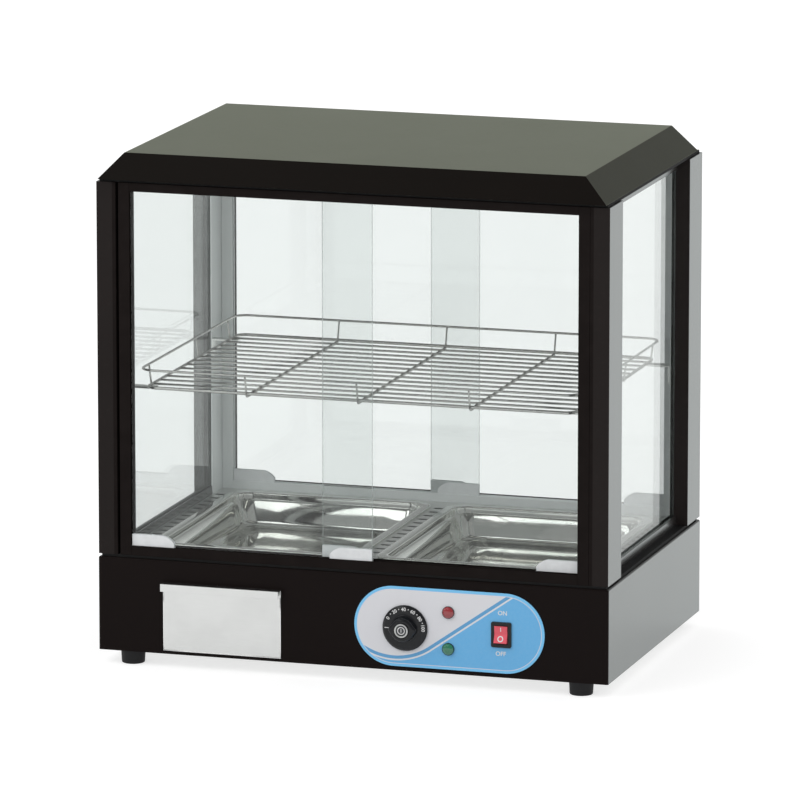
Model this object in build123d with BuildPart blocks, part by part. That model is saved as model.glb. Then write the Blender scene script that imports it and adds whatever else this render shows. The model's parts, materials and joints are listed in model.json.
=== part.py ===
from build123d import *
import os
from math import asin, cos, radians, sin

# Countertop food warmer: a sheet metal base with a drawer and controls, a glazed cabin
# with sliding doors at the front and the back, two pans, a wire shelf and a lamp lid.
# The origin is at the bottom centre: +X to the right, +Y to the back, +Z up, millimetres.

os.makedirs("parts", exist_ok=True)

# Overall
width = 640.0
depth = 418.0
foot_height = 17.0
base_height = 115.4
post_length = 455.5
seam = 3.4
lid_height = 31.6
sheet = 1.2
fit = 0.2
running_gap = 0.05

# Posts and side panes
post_inset = 0.8
post_width = 24.0
post_depth = 57.0
post_wall = 2.0
glass = 4.0
glass_wall = 2.0
groove_depth = 9.0
groove_bite = 8.0
side_channel_height = 12.0
side_channel_width = 10.0
bolt_radius = 2.5
bolt_slack = 0.3
bolt_head_radius = 4.0
bolt_head_height = 4.0
bolt_bite = 25.0
bolt_from_face = 24.0
bolt_from_inside = 10.0

# Door frame with two tracks
track_wall = 2.0
track_gap = 6.0
frame_joint = 3.4
stile_width = 14.0
stile_bite = 11.0
stile_slack = 0.6
sill_height = 12.0
sill_floor = 3.0
head_height = 10.5
head_roof = 2.5
head_slack = 2.5
left_door_edge = 25.5
right_door_edge = -39.5
door_glass_lift = 2.0
shoe_length = 53.3
shoe_rise = 14.0
shoe_tip = 5.0
shoe_side = 0.6
shoe_gap = 0.3

# Base
base_corner = 2.5
base_flange = 28.5
bottom_lip = 6.0
plinth_inset = 3.0

# Deck and pans
deck_rise = 5.0
slot_length = 13.0
slot_width = 7.0
slot_pitch = 22.0
slot_count = 14
pan_from_deck_edge = 20.0
pan_length = 325.0
pan_depth = 40.0
pan_gap = 20.0
pan_shift = 8.0
pan_rim = 11.0
pan_rim_height = 3.2
pan_wall = 0.8
pan_taper = 9.0
pan_corner = 24.0
pan_clearance = 1.5
pan_step_depth = 9.0
pan_step = 3.0

# Feet
foot_radius = 15.0
foot_tip_radius = 14.0
foot_edge = 1.5
foot_from_side = 38.0
foot_from_front = 18.0
foot_bore = 2.2
foot_pocket_radius = 5.0
foot_pocket_depth = 6.0
foot_screw_radius = 2.0
foot_screw_head = 4.0
foot_screw_head_height = 2.5
foot_nut_height = 3.0

# Water drawer
drawer_from_side = 82.9
drawer_front_width = 149.3
drawer_front_low = 4.3
drawer_front_height = 84.5
drawer_lip = 11.0
drawer_lip_drop = 9.5
drawer_tray_inset = 10.0
drawer_tray_length = 200.0
drawer_tray_height = 36.0
drawer_tray_low = 10.0
drawer_sheet = 1.0
drawer_gap = 0.3
runner_sheet = 1.6
runner_height = 20.0
runner_flange = 12.0
runner_ledge = 10.0

# Control panel
panel_from_side = 196.8
panel_z = 54.3
panel_width = 237.0
panel_height = 97.8
panel_thick = 1.5
knob_from_panel = -54.5
knob_z = 53.2
knob_skirt_radius = 28.0
knob_skirt_height = 4.5
knob_grip_radius = 14.5
knob_bar_length = 36.0
knob_bar_width = 9.0
knob_bar_drop = 2.0
knob_height = 18.0
knob_gap = 0.5
knob_cap_radius = 8.4
knob_cap_height = 1.2
shaft_radius = 3.0
shaft_hole = 4.5
shaft_grip = 12.0
shaft_tail = 14.0
thermostat_width = 44.0
thermostat_tall = 36.0
thermostat_deep = 30.0
lamp_from_panel = -0.8
red_lamp_z = 75.6
green_lamp_z = 30.8
lamp_bezel_radius = 7.5
lamp_bezel_height = 2.0
lamp_barrel_radius = 5.8
lamp_barrel_length = 24.0
lens_radius = 5.6
lens_dome = 3.2
lens_seat = 1.0
switch_from_panel = 65.2
switch_z = 52.8
bezel_width = 25.0
bezel_height = 31.0
bezel_thick = 2.0
housing_width = 21.6
housing_height = 27.6
housing_deep = 22.0
pocket_deep = 12.0
rocker_width = 15.9
rocker_gap = 0.3
rocker_radius = 10.2
rocker_pin_radius = 1.5
rocker_pin_length = 1.6
rocker_swing = 18.0
rocker_crest = 5.5
rocker_valley = 2.8

# Heating and wiring inside the base
rail_width = 15.0
rail_thick = 2.0
rail_tab = 14.0
rail_z = 61.0
rail_y = 85.0
element_radius = 4.0
element_span = 90.0
element_length = 250.0
bulb_radius = 3.0
bulb_length = 70.0
bulb_clip_width = 8.0
bulb_under_pan = 4.5
block_length = 60.0
block_depth = 20.0
block_height = 18.0
block_x = 150.0
block_from_back = 40.0
block_hole = 2.0
block_pitch = 10.0
gland_x = 200.0
gland_z = 40.0
gland_bore = 4.25
gland_thread = 8.0
gland_hex = 11.0
gland_hex_height = 9.0
gland_nose_radius = 9.0
gland_nut_height = 5.0
gland_tail = 10.0

# Shelf
shelf_z = 320.0
frame_wire = 2.0
floor_wire = 1.4
shelf_side_gap = 27.2
shelf_end_gap = 12.2
shelf_corner = 12.0
floor_wires = 13
cross_bar_pitch = 140.0
cross_bar_drop = 3.0
guard_rise = 23.0
guard_wire = 1.5
guard_post_wire = 1.2
guard_side_flare = 6.0
guard_end_flare = 9.0
guard_corner = 18.0
guard_post_y = [-150.0, 29.0, 150.0]
bracket_width = 12.0
bracket_thick = 2.5
bracket_drop = 22.0
bracket_reach = 34.0
bracket_from_corner = 3.0
bracket_gap = 0.2

# Lid and lamp
lid_side_inset = 2.9
lid_front_overhang = 5.0
lid_back_inset = 9.0
lid_top_side = 32.65
lid_top_front = 8.8
lid_top_back = 22.0
liner_margin = 6.0
batten_length = 420.0
batten_width = 30.0
batten_height = 14.0
tube_radius = 8.0
holder_width = 12.0
holder_tall = 24.0
holder_deep = 22.0
tube_bite = 4.0

# Levels and faces that follow
base_bottom = foot_height
base_top = base_bottom + base_height
post_bottom = base_top + seam
post_top = post_bottom + post_length
lid_bottom = post_top + seam
lid_top = lid_bottom + lid_height
side = width / 2
front = -depth / 2
post_side = side - post_inset
post_inner = post_side - post_width
post_front = front + post_inset
post_back_face = post_front + post_depth
track_pitch = track_wall + track_gap
frame_depth = 3 * track_wall + 2 * track_gap
frame_back = post_front + frame_depth
frame_left = -post_inner + frame_joint
frame_right = post_inner - fit
opening_left = frame_left + stile_width
opening_right = frame_right - stile_width
outer_track_y = post_front + track_wall + track_gap / 2
inner_track_y = outer_track_y + track_pitch
sill_top = post_bottom + sill_height
head_bottom = post_top - head_height
deck_top = base_top + deck_rise
deck_half_x = post_inner - fit
deck_half_y = -frame_back - fit
pan_width = deck_half_x - pan_from_deck_edge - pan_gap / 2
shelf_width = 2 * (post_inner - shelf_side_gap)
shelf_depth = 2 * (-frame_back - shelf_end_gap)
guard_width = shelf_width + 2 * guard_side_flare
guard_depth = shelf_depth + 2 * guard_end_flare
drawer_left = -side + drawer_from_side
panel_x = side - panel_from_side
knob_x = panel_x + knob_from_panel
lamp_x = panel_x + lamp_from_panel
switch_x = panel_x + switch_from_panel
panel_front = front - panel_thick
box_reach = -panel_front + knob_gap + knob_height


def save(builder, node):
    """Labels a finished sub-part and writes it as one STEP file."""
    builder.part.label = node
    export_step(builder.part, f"parts/{node}.step")


def block(xs, ys, zs, mode=Mode.ADD):
    """Adds or cuts a box, given by its lowest and highest x, y and z, in the open part."""
    with Locations(((xs[0] + xs[1]) / 2, (ys[0] + ys[1]) / 2, (zs[0] + zs[1]) / 2)):
        Box(abs(xs[1] - xs[0]), abs(ys[1] - ys[0]), abs(zs[1] - zs[0]), mode=mode)


def rod_along_y(x, z, radius, ys, mode=Mode.ADD):
    """Adds or cuts a round rod that runs along Y between two stations in the open part."""
    with Locations(Location((x, (ys[0] + ys[1]) / 2, z), (90, 0, 0))):
        Cylinder(radius, abs(ys[1] - ys[0]), mode=mode)


def rod_along_x(y, z, radius, xs, mode=Mode.ADD):
    """Adds or cuts a round rod that runs along X between two stations in the open part."""
    with Locations(Location(((xs[0] + xs[1]) / 2, y, z), (0, 90, 0))):
        Cylinder(radius, abs(xs[1] - xs[0]), mode=mode)


def rod_along_z(x, y, radius, zs, mode=Mode.ADD):
    """Adds or cuts a round rod that stands along Z between two levels in the open part."""
    with Locations((x, y, (zs[0] + zs[1]) / 2)):
        Cylinder(radius, abs(zs[1] - zs[0]), mode=mode)


# Places that several pieces share
foot_x = side - foot_from_side
foot_y = depth / 2 - foot_from_front
foot_spots = [(sx * foot_x, sy * foot_y) for sx in (-1, 1) for sy in (-1, 1)]
bolt_x = post_inner + bolt_from_inside
bolt_y = -post_front - bolt_from_face
bolt_spots = [(sx * bolt_x, sy * bolt_y) for sx in (-1, 1) for sy in (-1, 1)]
bolt_hole = bolt_radius + bolt_slack
pan_x = (pan_gap + pan_width) / 2
drawer_right = drawer_left + drawer_front_width
tray_left = drawer_left + drawer_tray_inset
tray_right = drawer_right - drawer_tray_inset
tray_low = base_bottom + drawer_tray_low
tray_high = tray_low + drawer_tray_height
knob_level = base_bottom + knob_z
switch_level = base_bottom + switch_z
lamp_levels = {"red": base_bottom + red_lamp_z, "green": base_bottom + green_lamp_z}
gland_level = base_bottom + gland_z
rail_level = base_bottom + rail_z
shelf_level = base_bottom + shelf_z
guard_level = shelf_level + guard_rise

# Base shell: front, back and side walls with a flange round the open top
with BuildPart() as base_shell:
    block((-side, side), (front, -front), (base_bottom, base_top))
    fillet(base_shell.edges().filter_by(Axis.Z) + base_shell.faces().sort_by(Axis.Z)[-1].edges(), base_corner)
    block((-side + sheet, side - sheet), (front + sheet, -front - sheet), (base_bottom, base_top - sheet),
          Mode.SUBTRACT)
    block((-side + base_flange, side - base_flange), (front + base_flange, -front - base_flange),
          (base_top - sheet, base_top), Mode.SUBTRACT)
    block((tray_left - 1, tray_right + 1), (front, front + sheet), (tray_low - 1, tray_high + 1), Mode.SUBTRACT)
    rod_along_y(knob_x, knob_level, shaft_hole, (front, front + sheet), Mode.SUBTRACT)
    for level in lamp_levels.values():
        rod_along_y(lamp_x, level, lamp_barrel_radius + fit, (front, front + sheet), Mode.SUBTRACT)
    block((switch_x - housing_width / 2 - fit, switch_x + housing_width / 2 + fit), (front, front + sheet),
          (switch_level - housing_height / 2 - fit, switch_level + housing_height / 2 + fit), Mode.SUBTRACT)
    rod_along_y(gland_x, gland_level, gland_thread + fit, (-front - sheet, -front), Mode.SUBTRACT)
    for x, y in bolt_spots:
        rod_along_z(x, y, bolt_hole, (base_top - sheet, base_top), Mode.SUBTRACT)
save(base_shell, "base_shell")

# Bottom plate: a shallow tray inside the walls, drilled for the feet
with BuildPart() as bottom_plate:
    block((-side + sheet, side - sheet), (front + sheet, -front - sheet), (base_bottom, base_bottom + bottom_lip))
    block((-side + 2 * sheet, side - 2 * sheet), (front + 2 * sheet, -front - 2 * sheet),
          (base_bottom + sheet, base_bottom + bottom_lip), Mode.SUBTRACT)
    for x, y in foot_spots:
        rod_along_z(x, y, foot_bore, (base_bottom, base_bottom + sheet), Mode.SUBTRACT)
save(bottom_plate, "bottom_plate")

# Feet: four rubber buttons with a screw pocket underneath
with BuildPart() as feet:
    for x, y in foot_spots:
        with Locations(Location((x, y, foot_height / 2))):
            Cone(foot_tip_radius, foot_radius, foot_height)
    fillet(feet.faces().group_by(Axis.Z)[0].edges(), foot_edge)
    for x, y in foot_spots:
        rod_along_z(x, y, foot_bore, (0, foot_height), Mode.SUBTRACT)
        rod_along_z(x, y, foot_pocket_radius, (0, foot_pocket_depth), Mode.SUBTRACT)
save(feet, "feet")

# Foot screws, each with its nut on the bottom plate
with BuildPart() as foot_screws:
    for x, y in foot_spots:
        rod_along_z(x, y, foot_screw_head, (foot_pocket_depth - foot_screw_head_height, foot_pocket_depth))
        rod_along_z(x, y, foot_screw_radius, (foot_pocket_depth, base_bottom + sheet + foot_nut_height))
        rod_along_z(x, y, foot_screw_head, (base_bottom + sheet, base_bottom + sheet + foot_nut_height))
save(foot_screws, "foot_screws")

# Deck plate: a folded stainless plate with two pan openings and three columns of slots
opening_x = pan_width - 2 * pan_rim + 2 * pan_clearance
opening_y = pan_length - 2 * pan_rim + 2 * pan_clearance
slot_x = (pan_x + pan_width / 2 + deck_half_x) / 2
with BuildPart() as deck_plate:
    block((-deck_half_x, deck_half_x), (-deck_half_y, deck_half_y), (base_top, deck_top))
    block((-deck_half_x + sheet, deck_half_x - sheet), (-deck_half_y + sheet, deck_half_y - sheet),
          (base_top, deck_top - sheet), Mode.SUBTRACT)
    with BuildSketch(Plane.XY.offset(deck_top)):
        with Locations((-pan_x, pan_shift), (pan_x, pan_shift)):
            RectangleRounded(opening_x, opening_y, pan_corner)
    extrude(amount=-sheet, mode=Mode.SUBTRACT)
    with BuildSketch(Plane.XY.offset(deck_top)):
        for x in (-slot_x, 0, slot_x):
            with Locations((x, pan_shift)):
                with GridLocations(0, slot_pitch, 1, slot_count):
                    RectangleRounded(slot_length, slot_width, slot_width * 0.4)
    extrude(amount=-sheet, mode=Mode.SUBTRACT)
save(deck_plate, "deck_plate")


def make_pan(x, node):
    """Makes a half-size gastronorm pan: a tapered, stepped tub with a turned-down rim."""
    rim_top = deck_top + pan_rim_height
    top_w = pan_width - 2 * pan_rim
    top_l = pan_length - 2 * pan_rim
    step_level = rim_top - pan_step_depth
    with BuildPart() as pan:
        with BuildSketch(Plane.XY.offset(deck_top)):
            with Locations((x, pan_shift)):
                RectangleRounded(pan_width, pan_length, pan_corner)
        extrude(amount=pan_rim_height)
        with BuildSketch(Plane.XY.offset(deck_top)):
            with Locations((x, pan_shift)):
                RectangleRounded(pan_width - 2 * pan_wall, pan_length - 2 * pan_wall, pan_corner - pan_wall)
        extrude(amount=pan_rim_height - pan_wall, mode=Mode.SUBTRACT)
        for shrink, mode in ((0.0, Mode.ADD), (pan_wall, Mode.SUBTRACT)):
            floor = rim_top - pan_depth + shrink
            low_w = top_w - 2 * pan_step - 2 * pan_taper - 2 * shrink
            low_l = top_l - 2 * pan_step - 2 * pan_taper - 2 * shrink
            with BuildSketch(Plane.XY.offset(step_level + shrink)):
                with Locations((x, pan_shift)):
                    RectangleRounded(top_w - 2 * shrink, top_l - 2 * shrink, pan_corner - shrink)
            extrude(amount=rim_top - step_level - shrink, mode=mode)
            with BuildSketch(Plane.XY.offset(floor)):
                with Locations((x, pan_shift)):
                    RectangleRounded(low_w, low_l, pan_corner - shrink)
            with BuildSketch(Plane.XY.offset(step_level + shrink)):
                with Locations((x, pan_shift)):
                    RectangleRounded(top_w - 2 * pan_step - 2 * shrink, top_l - 2 * pan_step - 2 * shrink,
                                     pan_corner - shrink)
            loft(ruled=True, mode=mode)
    save(pan, node)


make_pan(-pan_x, "pan_left")
make_pan(pan_x, "pan_right")

# Water drawer: a front plate folded over into a pull lip, and the tray behind it
front_low = base_bottom + drawer_front_low
front_high = front_low + drawer_front_height
plate_back = front - drawer_gap
plate_face = plate_back - sheet
with BuildPart() as drawer_front:
    block((drawer_left, drawer_right), (plate_face, plate_back), (front_low, front_high))
    block((drawer_left, drawer_right), (plate_face - drawer_lip, plate_back), (front_high - sheet, front_high))
    block((drawer_left, drawer_right), (plate_face - drawer_lip, plate_face - drawer_lip + sheet),
          (front_high - drawer_lip_drop, front_high))
save(drawer_front, "drawer_front")

tray_back = front + drawer_tray_length
with BuildPart() as drawer_tray:
    block((tray_left, tray_right), (plate_back, tray_back), (tray_low, tray_high))
    block((tray_left + drawer_sheet, tray_right - drawer_sheet),
          (plate_back + drawer_sheet, tray_back - drawer_sheet), (tray_low + drawer_sheet, tray_high), Mode.SUBTRACT)
save(drawer_tray, "drawer_tray")

# Runners: two bent strips on the bottom plate, each with a ledge under the tray
with BuildPart() as drawer_runners:
    run = (front + 2 * sheet + fit, tray_back)
    floor_level = base_bottom + sheet
    ledge_top = tray_low - drawer_gap
    for edge, out in ((tray_left - drawer_gap, -1), (tray_right + drawer_gap, 1)):
        web = sorted((edge, edge + out * runner_sheet))
        block(web, run, (floor_level, floor_level + runner_height))
        block(sorted((edge, edge + out * runner_flange)), run, (floor_level, floor_level + runner_sheet))
        block(sorted((edge + out * runner_sheet, edge - out * runner_ledge)), run,
              (ledge_top - runner_sheet, ledge_top))
save(drawer_runners, "drawer_runners")

# Control panel: a plate with round ends, cut for the shaft, the lamps and the switch
with BuildPart() as panel_plate:
    with BuildSketch(Plane.XZ.offset(-front)):
        with Locations((panel_x, base_bottom + panel_z)):
            SlotOverall(panel_width, panel_height)
    extrude(amount=panel_thick)
    rod_along_y(knob_x, knob_level, shaft_hole, (panel_front, front), Mode.SUBTRACT)
    for level in lamp_levels.values():
        rod_along_y(lamp_x, level, lamp_barrel_radius + fit, (panel_front, front), Mode.SUBTRACT)
    block((switch_x - housing_width / 2 - fit, switch_x + housing_width / 2 + fit), (panel_front, front),
          (switch_level - housing_height / 2 - fit, switch_level + housing_height / 2 + fit), Mode.SUBTRACT)
save(panel_plate, "panel_plate")

# Thermostat knob: a skirt with a round grip and a bar across it
skirt_back = panel_front - knob_gap
skirt_front = skirt_back - knob_skirt_height
knob_front = skirt_back - knob_height
with BuildPart() as thermostat_knob:
    rod_along_y(knob_x, knob_level, knob_skirt_radius, (skirt_front, skirt_back))
    chamfer(thermostat_knob.faces().sort_by(Axis.Y)[0].edges(), knob_skirt_height * 0.4)
    rod_along_y(knob_x, knob_level, knob_grip_radius, (knob_front + knob_cap_height, skirt_front))
    fillet(thermostat_knob.faces().sort_by(Axis.Y)[0].edges(), knob_cap_height)
    block((knob_x - knob_bar_length / 2, knob_x + knob_bar_length / 2),
          (knob_front + knob_cap_height + knob_bar_drop, skirt_front),
          (knob_level - knob_bar_width / 2, knob_level + knob_bar_width / 2))
    rod_along_y(knob_x, knob_level, shaft_radius, (skirt_back - shaft_grip, skirt_back), Mode.SUBTRACT)
save(thermostat_knob, "thermostat_knob")

with BuildPart() as knob_cap:
    rod_along_y(knob_x, knob_level, knob_cap_radius, (knob_front, knob_front + knob_cap_height))
    fillet(knob_cap.faces().sort_by(Axis.Y)[0].edges(), knob_cap_height / 2)
save(knob_cap, "knob_cap")

with BuildPart() as thermostat_shaft:
    rod_along_y(knob_x, knob_level, shaft_radius, (skirt_back - shaft_grip, front + sheet + shaft_tail))
save(thermostat_shaft, "thermostat_shaft")

with BuildPart() as thermostat_body:
    body_front = front + sheet
    block((knob_x - thermostat_width / 2, knob_x + thermostat_width / 2),
          (body_front, body_front + thermostat_deep),
          (knob_level - thermostat_tall / 2, knob_level + thermostat_tall / 2))
    fillet(thermostat_body.edges().filter_by(Axis.Y), thermostat_tall / 6)
    rod_along_y(knob_x, knob_level, shaft_radius + running_gap,
                (body_front, body_front + shaft_tail + running_gap), Mode.SUBTRACT)
save(thermostat_body, "thermostat_body")

# Indicator lamps: a barrel with a bezel for each, and a domed lens seated in it
with BuildPart() as lamp_bodies:
    for level in lamp_levels.values():
        rod_along_y(lamp_x, level, lamp_bezel_radius, (panel_front - lamp_bezel_height, panel_front))
        rod_along_y(lamp_x, level, lamp_barrel_radius, (panel_front, panel_front + lamp_barrel_length))
        rod_along_y(lamp_x, level, lens_radius,
                    (panel_front - lamp_bezel_height, panel_front - lamp_bezel_height + lens_seat), Mode.SUBTRACT)
save(lamp_bodies, "lamp_bodies")


def make_lens(level, node):
    """Makes a domed lens: a short disc whose front swells to a shallow dome."""
    seat = panel_front - lamp_bezel_height + lens_seat
    rim = panel_front - lamp_bezel_height
    ball = (lens_radius ** 2 + lens_dome ** 2) / (2 * lens_dome)
    half_turn = asin(lens_radius / ball) / 2
    middle = (lamp_x + ball * sin(half_turn), rim - lens_dome + ball - ball * cos(half_turn))
    with BuildPart() as lens:
        with BuildSketch(Plane.XY.offset(level)):
            with BuildLine():
                Polyline((lamp_x, rim - lens_dome), (lamp_x, seat), (lamp_x + lens_radius, seat),
                         (lamp_x + lens_radius, rim))
                ThreePointArc((lamp_x + lens_radius, rim), middle, (lamp_x, rim - lens_dome))
            make_face()
        revolve(axis=Axis((lamp_x, 0, level), (0, 1, 0)))
    save(lens, node)


make_lens(lamp_levels["red"], "red_lens")
make_lens(lamp_levels["green"], "green_lens")

# Rocker switch: a housing with a bezel, and the rocker on its two pins
pivot_y = panel_front
pocket_width = rocker_width + 2 * rocker_gap
pocket_height = 2 * (rocker_radius + rocker_crest * sin(radians(rocker_swing / 2)) + rocker_gap)
with BuildPart() as switch_housing:
    block((switch_x - bezel_width / 2, switch_x + bezel_width / 2), (panel_front - bezel_thick, panel_front),
          (switch_level - bezel_height / 2, switch_level + bezel_height / 2))
    fillet(switch_housing.edges().filter_by(Axis.Y), bezel_thick)
    block((switch_x - housing_width / 2, switch_x + housing_width / 2), (panel_front, panel_front + housing_deep),
          (switch_level - housing_height / 2, switch_level + housing_height / 2))
    block((switch_x - pocket_width / 2, switch_x + pocket_width / 2),
          (panel_front - bezel_thick, panel_front + pocket_deep),
          (switch_level - pocket_height / 2, switch_level + pocket_height / 2), Mode.SUBTRACT)
    pin_reach = pocket_width / 2 + rocker_pin_length
    rod_along_x(pivot_y, switch_level, rocker_pin_radius + running_gap,
                (switch_x - pin_reach, switch_x + pin_reach), Mode.SUBTRACT)
save(switch_housing, "switch_housing")

with BuildPart() as switch_rocker:
    lean = radians(rocker_swing / 2)
    tilt = Plane(origin=(switch_x - rocker_width / 2, pivot_y, switch_level), x_dir=(0, cos(lean), -sin(lean)),
                 z_dir=(1, 0, 0))
    with BuildSketch(tilt):
        Circle(rocker_radius)
        with Locations((-rocker_radius, 0)):
            Rectangle(2 * rocker_radius, 2 * rocker_radius + 1, mode=Mode.SUBTRACT)
        with BuildLine():
            Polyline((0, -rocker_radius), (0, rocker_radius), (-rocker_crest, rocker_radius),
                     (-rocker_valley, 0), (-rocker_crest, -rocker_radius), (0, -rocker_radius))
        make_face()
    extrude(amount=rocker_width)
    pin_end = rocker_width / 2 + rocker_gap + rocker_pin_length - running_gap
    rod_along_x(pivot_y, switch_level, rocker_pin_radius, (switch_x - pin_end, switch_x + pin_end))
save(switch_rocker, "switch_rocker")

# Heater rails: two flat bars across the base, turned down against the side walls
with BuildPart() as heater_rails:
    rail_end = side - sheet
    for y in (-rail_y, rail_y):
        ys = (y - rail_width / 2, y + rail_width / 2)
        block((-rail_end, rail_end), ys, (rail_level - rail_thick, rail_level))
        block((-rail_end, -rail_end + rail_thick), ys, (rail_level - rail_tab, rail_level))
        block((rail_end - rail_thick, rail_end), ys, (rail_level - rail_tab, rail_level))
save(heater_rails, "heater_rails")


# Heating elements: one hairpin tube under each pan, lying on the rails
with BuildPart() as heating_elements:
    for x in (-pan_x, pan_x):
        near = -element_length / 2
        bend = element_length / 2 - element_span / 2
        with BuildLine(Plane.XY.offset(rail_level + element_radius)) as hairpin:
            Polyline((x - element_span / 2, near), (x - element_span / 2, bend))
            ThreePointArc((x - element_span / 2, bend), (x, bend + element_span / 2), (x + element_span / 2, bend))
            Polyline((x + element_span / 2, bend), (x + element_span / 2, near))
        with BuildSketch(Plane(origin=(x - element_span / 2, near, rail_level + element_radius),
                               z_dir=(0, 1, 0))):
            Circle(element_radius)
        sweep(path=hairpin.wires()[0])
save(heating_elements, "heating_elements")

# Sensor bulb: a capsule under the middle of the deck with the clip that holds it
with BuildPart() as sensor_bulb:
    bulb_level = deck_top - sheet - bulb_radius
    bulb_y = pan_shift - pan_length / 2 + bulb_under_pan
    rod_along_x(bulb_y, bulb_level, bulb_radius, (-bulb_length / 2, bulb_length / 2))
    for x in (-bulb_length / 3, bulb_length / 3):
        xs = (x - bulb_clip_width / 2, x + bulb_clip_width / 2)
        block(xs, (bulb_y - bulb_radius - sheet, bulb_y + bulb_radius + sheet),
              (bulb_level - bulb_radius - sheet, bulb_level))
        block(xs, (bulb_y - bulb_radius - sheet, bulb_y + bulb_radius + sheet),
              (bulb_level, deck_top - sheet))
save(sensor_bulb, "sensor_bulb")

# Terminal block on the bottom plate, with two rows of wire holes
with BuildPart() as terminal_block:
    block_y = -front - block_from_back
    block_low = base_bottom + sheet
    block((block_x - block_length / 2, block_x + block_length / 2),
          (block_y - block_depth / 2, block_y + block_depth / 2), (block_low, block_low + block_height))
    holes = int(block_length / block_pitch) - 1
    for step in range(holes):
        x = block_x + (step - (holes - 1) / 2) * block_pitch
        rod_along_y(x, block_low + block_height / 3, block_hole,
                    (block_y - block_depth / 2, block_y + block_depth / 2), Mode.SUBTRACT)
save(terminal_block, "terminal_block")

# Cable gland through the back wall, and its nut inside
gland_end = box_reach
with BuildPart() as cable_gland:
    with BuildSketch(Plane.XZ.offset(front)):
        with Locations((gland_x, gland_level)):
            RegularPolygon(gland_hex, 6)
    extrude(amount=-gland_hex_height)
    rod_along_y(gland_x, gland_level, gland_nose_radius, (-front + gland_hex_height, gland_end))
    fillet(cable_gland.faces().sort_by(Axis.Y)[-1].edges(), gland_nose_radius / 5)
    rod_along_y(gland_x, gland_level, gland_thread, (-front - sheet - gland_tail, -front))
    rod_along_y(gland_x, gland_level, gland_bore, (-front - sheet - gland_tail, gland_end), Mode.SUBTRACT)
save(cable_gland, "cable_gland")

with BuildPart() as gland_nut:
    nut_back = -front - sheet
    with BuildSketch(Plane.XZ.offset(-nut_back)):
        with Locations((gland_x, gland_level)):
            RegularPolygon(gland_hex, 6)
            Circle(gland_thread, mode=Mode.SUBTRACT)
    extrude(amount=gland_nut_height)
save(gland_nut, "gland_nut")


def make_seam(level, node):
    """Makes the four dark strips that set the cabin off its neighbour by a shadow joint."""
    out_x = post_side - plinth_inset
    out_y = -post_front - plinth_inset
    in_x = deck_half_x + fit
    in_y = deck_half_y + fit
    with BuildPart() as strips:
        for sign in (-1, 1):
            block((-out_x, out_x), sorted((sign * in_y, sign * out_y)), (level, level + seam))
            block(sorted((sign * in_x, sign * out_x)), (-in_y + fit, in_y - fit), (level, level + seam))
        for x, y in bolt_spots:
            rod_along_z(x, y, bolt_hole, (level, level + seam), Mode.SUBTRACT)
    save(strips, node)


make_seam(base_top, "plinth_strips")
make_seam(post_top, "top_strips")


def make_post(sx, sy, node):
    """Makes one corner post, an extrusion with a screw port and a groove for the side pane."""
    def across(a, b):
        return sorted((sx * (post_side - a), sx * (post_side - b)))

    def along(a, b):
        return sorted((sy * (-post_front - a), sy * (-post_front - b)))

    port = -post_front - bolt_y
    port_half = bolt_hole + post_wall
    levels = (post_bottom, post_top)
    groove_start = post_depth - groove_depth
    pane_out = post_width - glass_wall
    with BuildPart() as post:
        block(across(0, post_width), along(0, post_depth), levels)
        block(across(post_wall, post_width - post_wall), along(post_wall, port - port_half), levels, Mode.SUBTRACT)
        block(across(post_wall, post_width - post_wall), along(port + port_half, groove_start - post_wall),
              levels, Mode.SUBTRACT)
        block(across(post_wall, pane_out - glass - 2 * glass_wall), along(groove_start, post_depth - post_wall),
              levels, Mode.SUBTRACT)
        block(across(pane_out - glass - fit, pane_out + fit), along(groove_start, post_depth), levels,
              Mode.SUBTRACT)
        rod_along_z(sx * bolt_x, sy * bolt_y, bolt_hole, levels, Mode.SUBTRACT)
    save(post, node)


make_post(-1, -1, "post_front_left")
make_post(1, -1, "post_front_right")
make_post(-1, 1, "post_back_left")
make_post(1, 1, "post_back_right")

# Post bolts: one from below and one from above into each post
with BuildPart() as post_bolts:
    for x, y in bolt_spots:
        low_head = base_top - sheet
        high_head = lid_bottom + sheet
        rod_along_z(x, y, bolt_head_radius, (low_head - bolt_head_height, low_head))
        rod_along_z(x, y, bolt_radius, (low_head, post_bottom + bolt_bite))
        rod_along_z(x, y, bolt_head_radius, (high_head, high_head + bolt_head_height))
        rod_along_z(x, y, bolt_radius, (post_top - bolt_bite, high_head))
save(post_bolts, "post_bolts")

# Side panes and the channels that hold their lower and upper edges
pane_in = post_inner + glass_wall
pane_low = post_bottom + sill_floor
pane_high = post_top - sill_floor
pane_half = -post_back_face + groove_bite


def make_side_pane(sign, node):
    """Makes one fixed side pane, let into the posts and the channels."""
    with BuildPart() as pane:
        block(sorted((sign * pane_in, sign * (pane_in + glass))), (-pane_half, pane_half), (pane_low, pane_high))
    save(pane, node)


def make_channels(low, high, slot, node):
    """Makes the pair of side channels between two levels, with a slot for the pane's edge."""
    with BuildPart() as channels:
        for sign in (-1, 1):
            block(sorted((sign * post_inner, sign * (post_inner + side_channel_width))),
                  (post_back_face, -post_back_face), (low, high))
            block(sorted((sign * (pane_in - fit), sign * (pane_in + glass + fit))),
                  (post_back_face, -post_back_face), slot, Mode.SUBTRACT)
    save(channels, node)


make_side_pane(-1, "side_pane_left")
make_side_pane(1, "side_pane_right")
make_channels(post_bottom, post_bottom + side_channel_height,
              (pane_low, post_bottom + side_channel_height), "side_sills")
make_channels(post_top - side_channel_height, post_top,
              (post_top - side_channel_height, pane_high), "side_heads")


def track_gaps():
    """Gives the low and high y of the outer and the inner track."""
    return [(y - track_gap / 2, y + track_gap / 2) for y in (outer_track_y, inner_track_y)]


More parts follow.
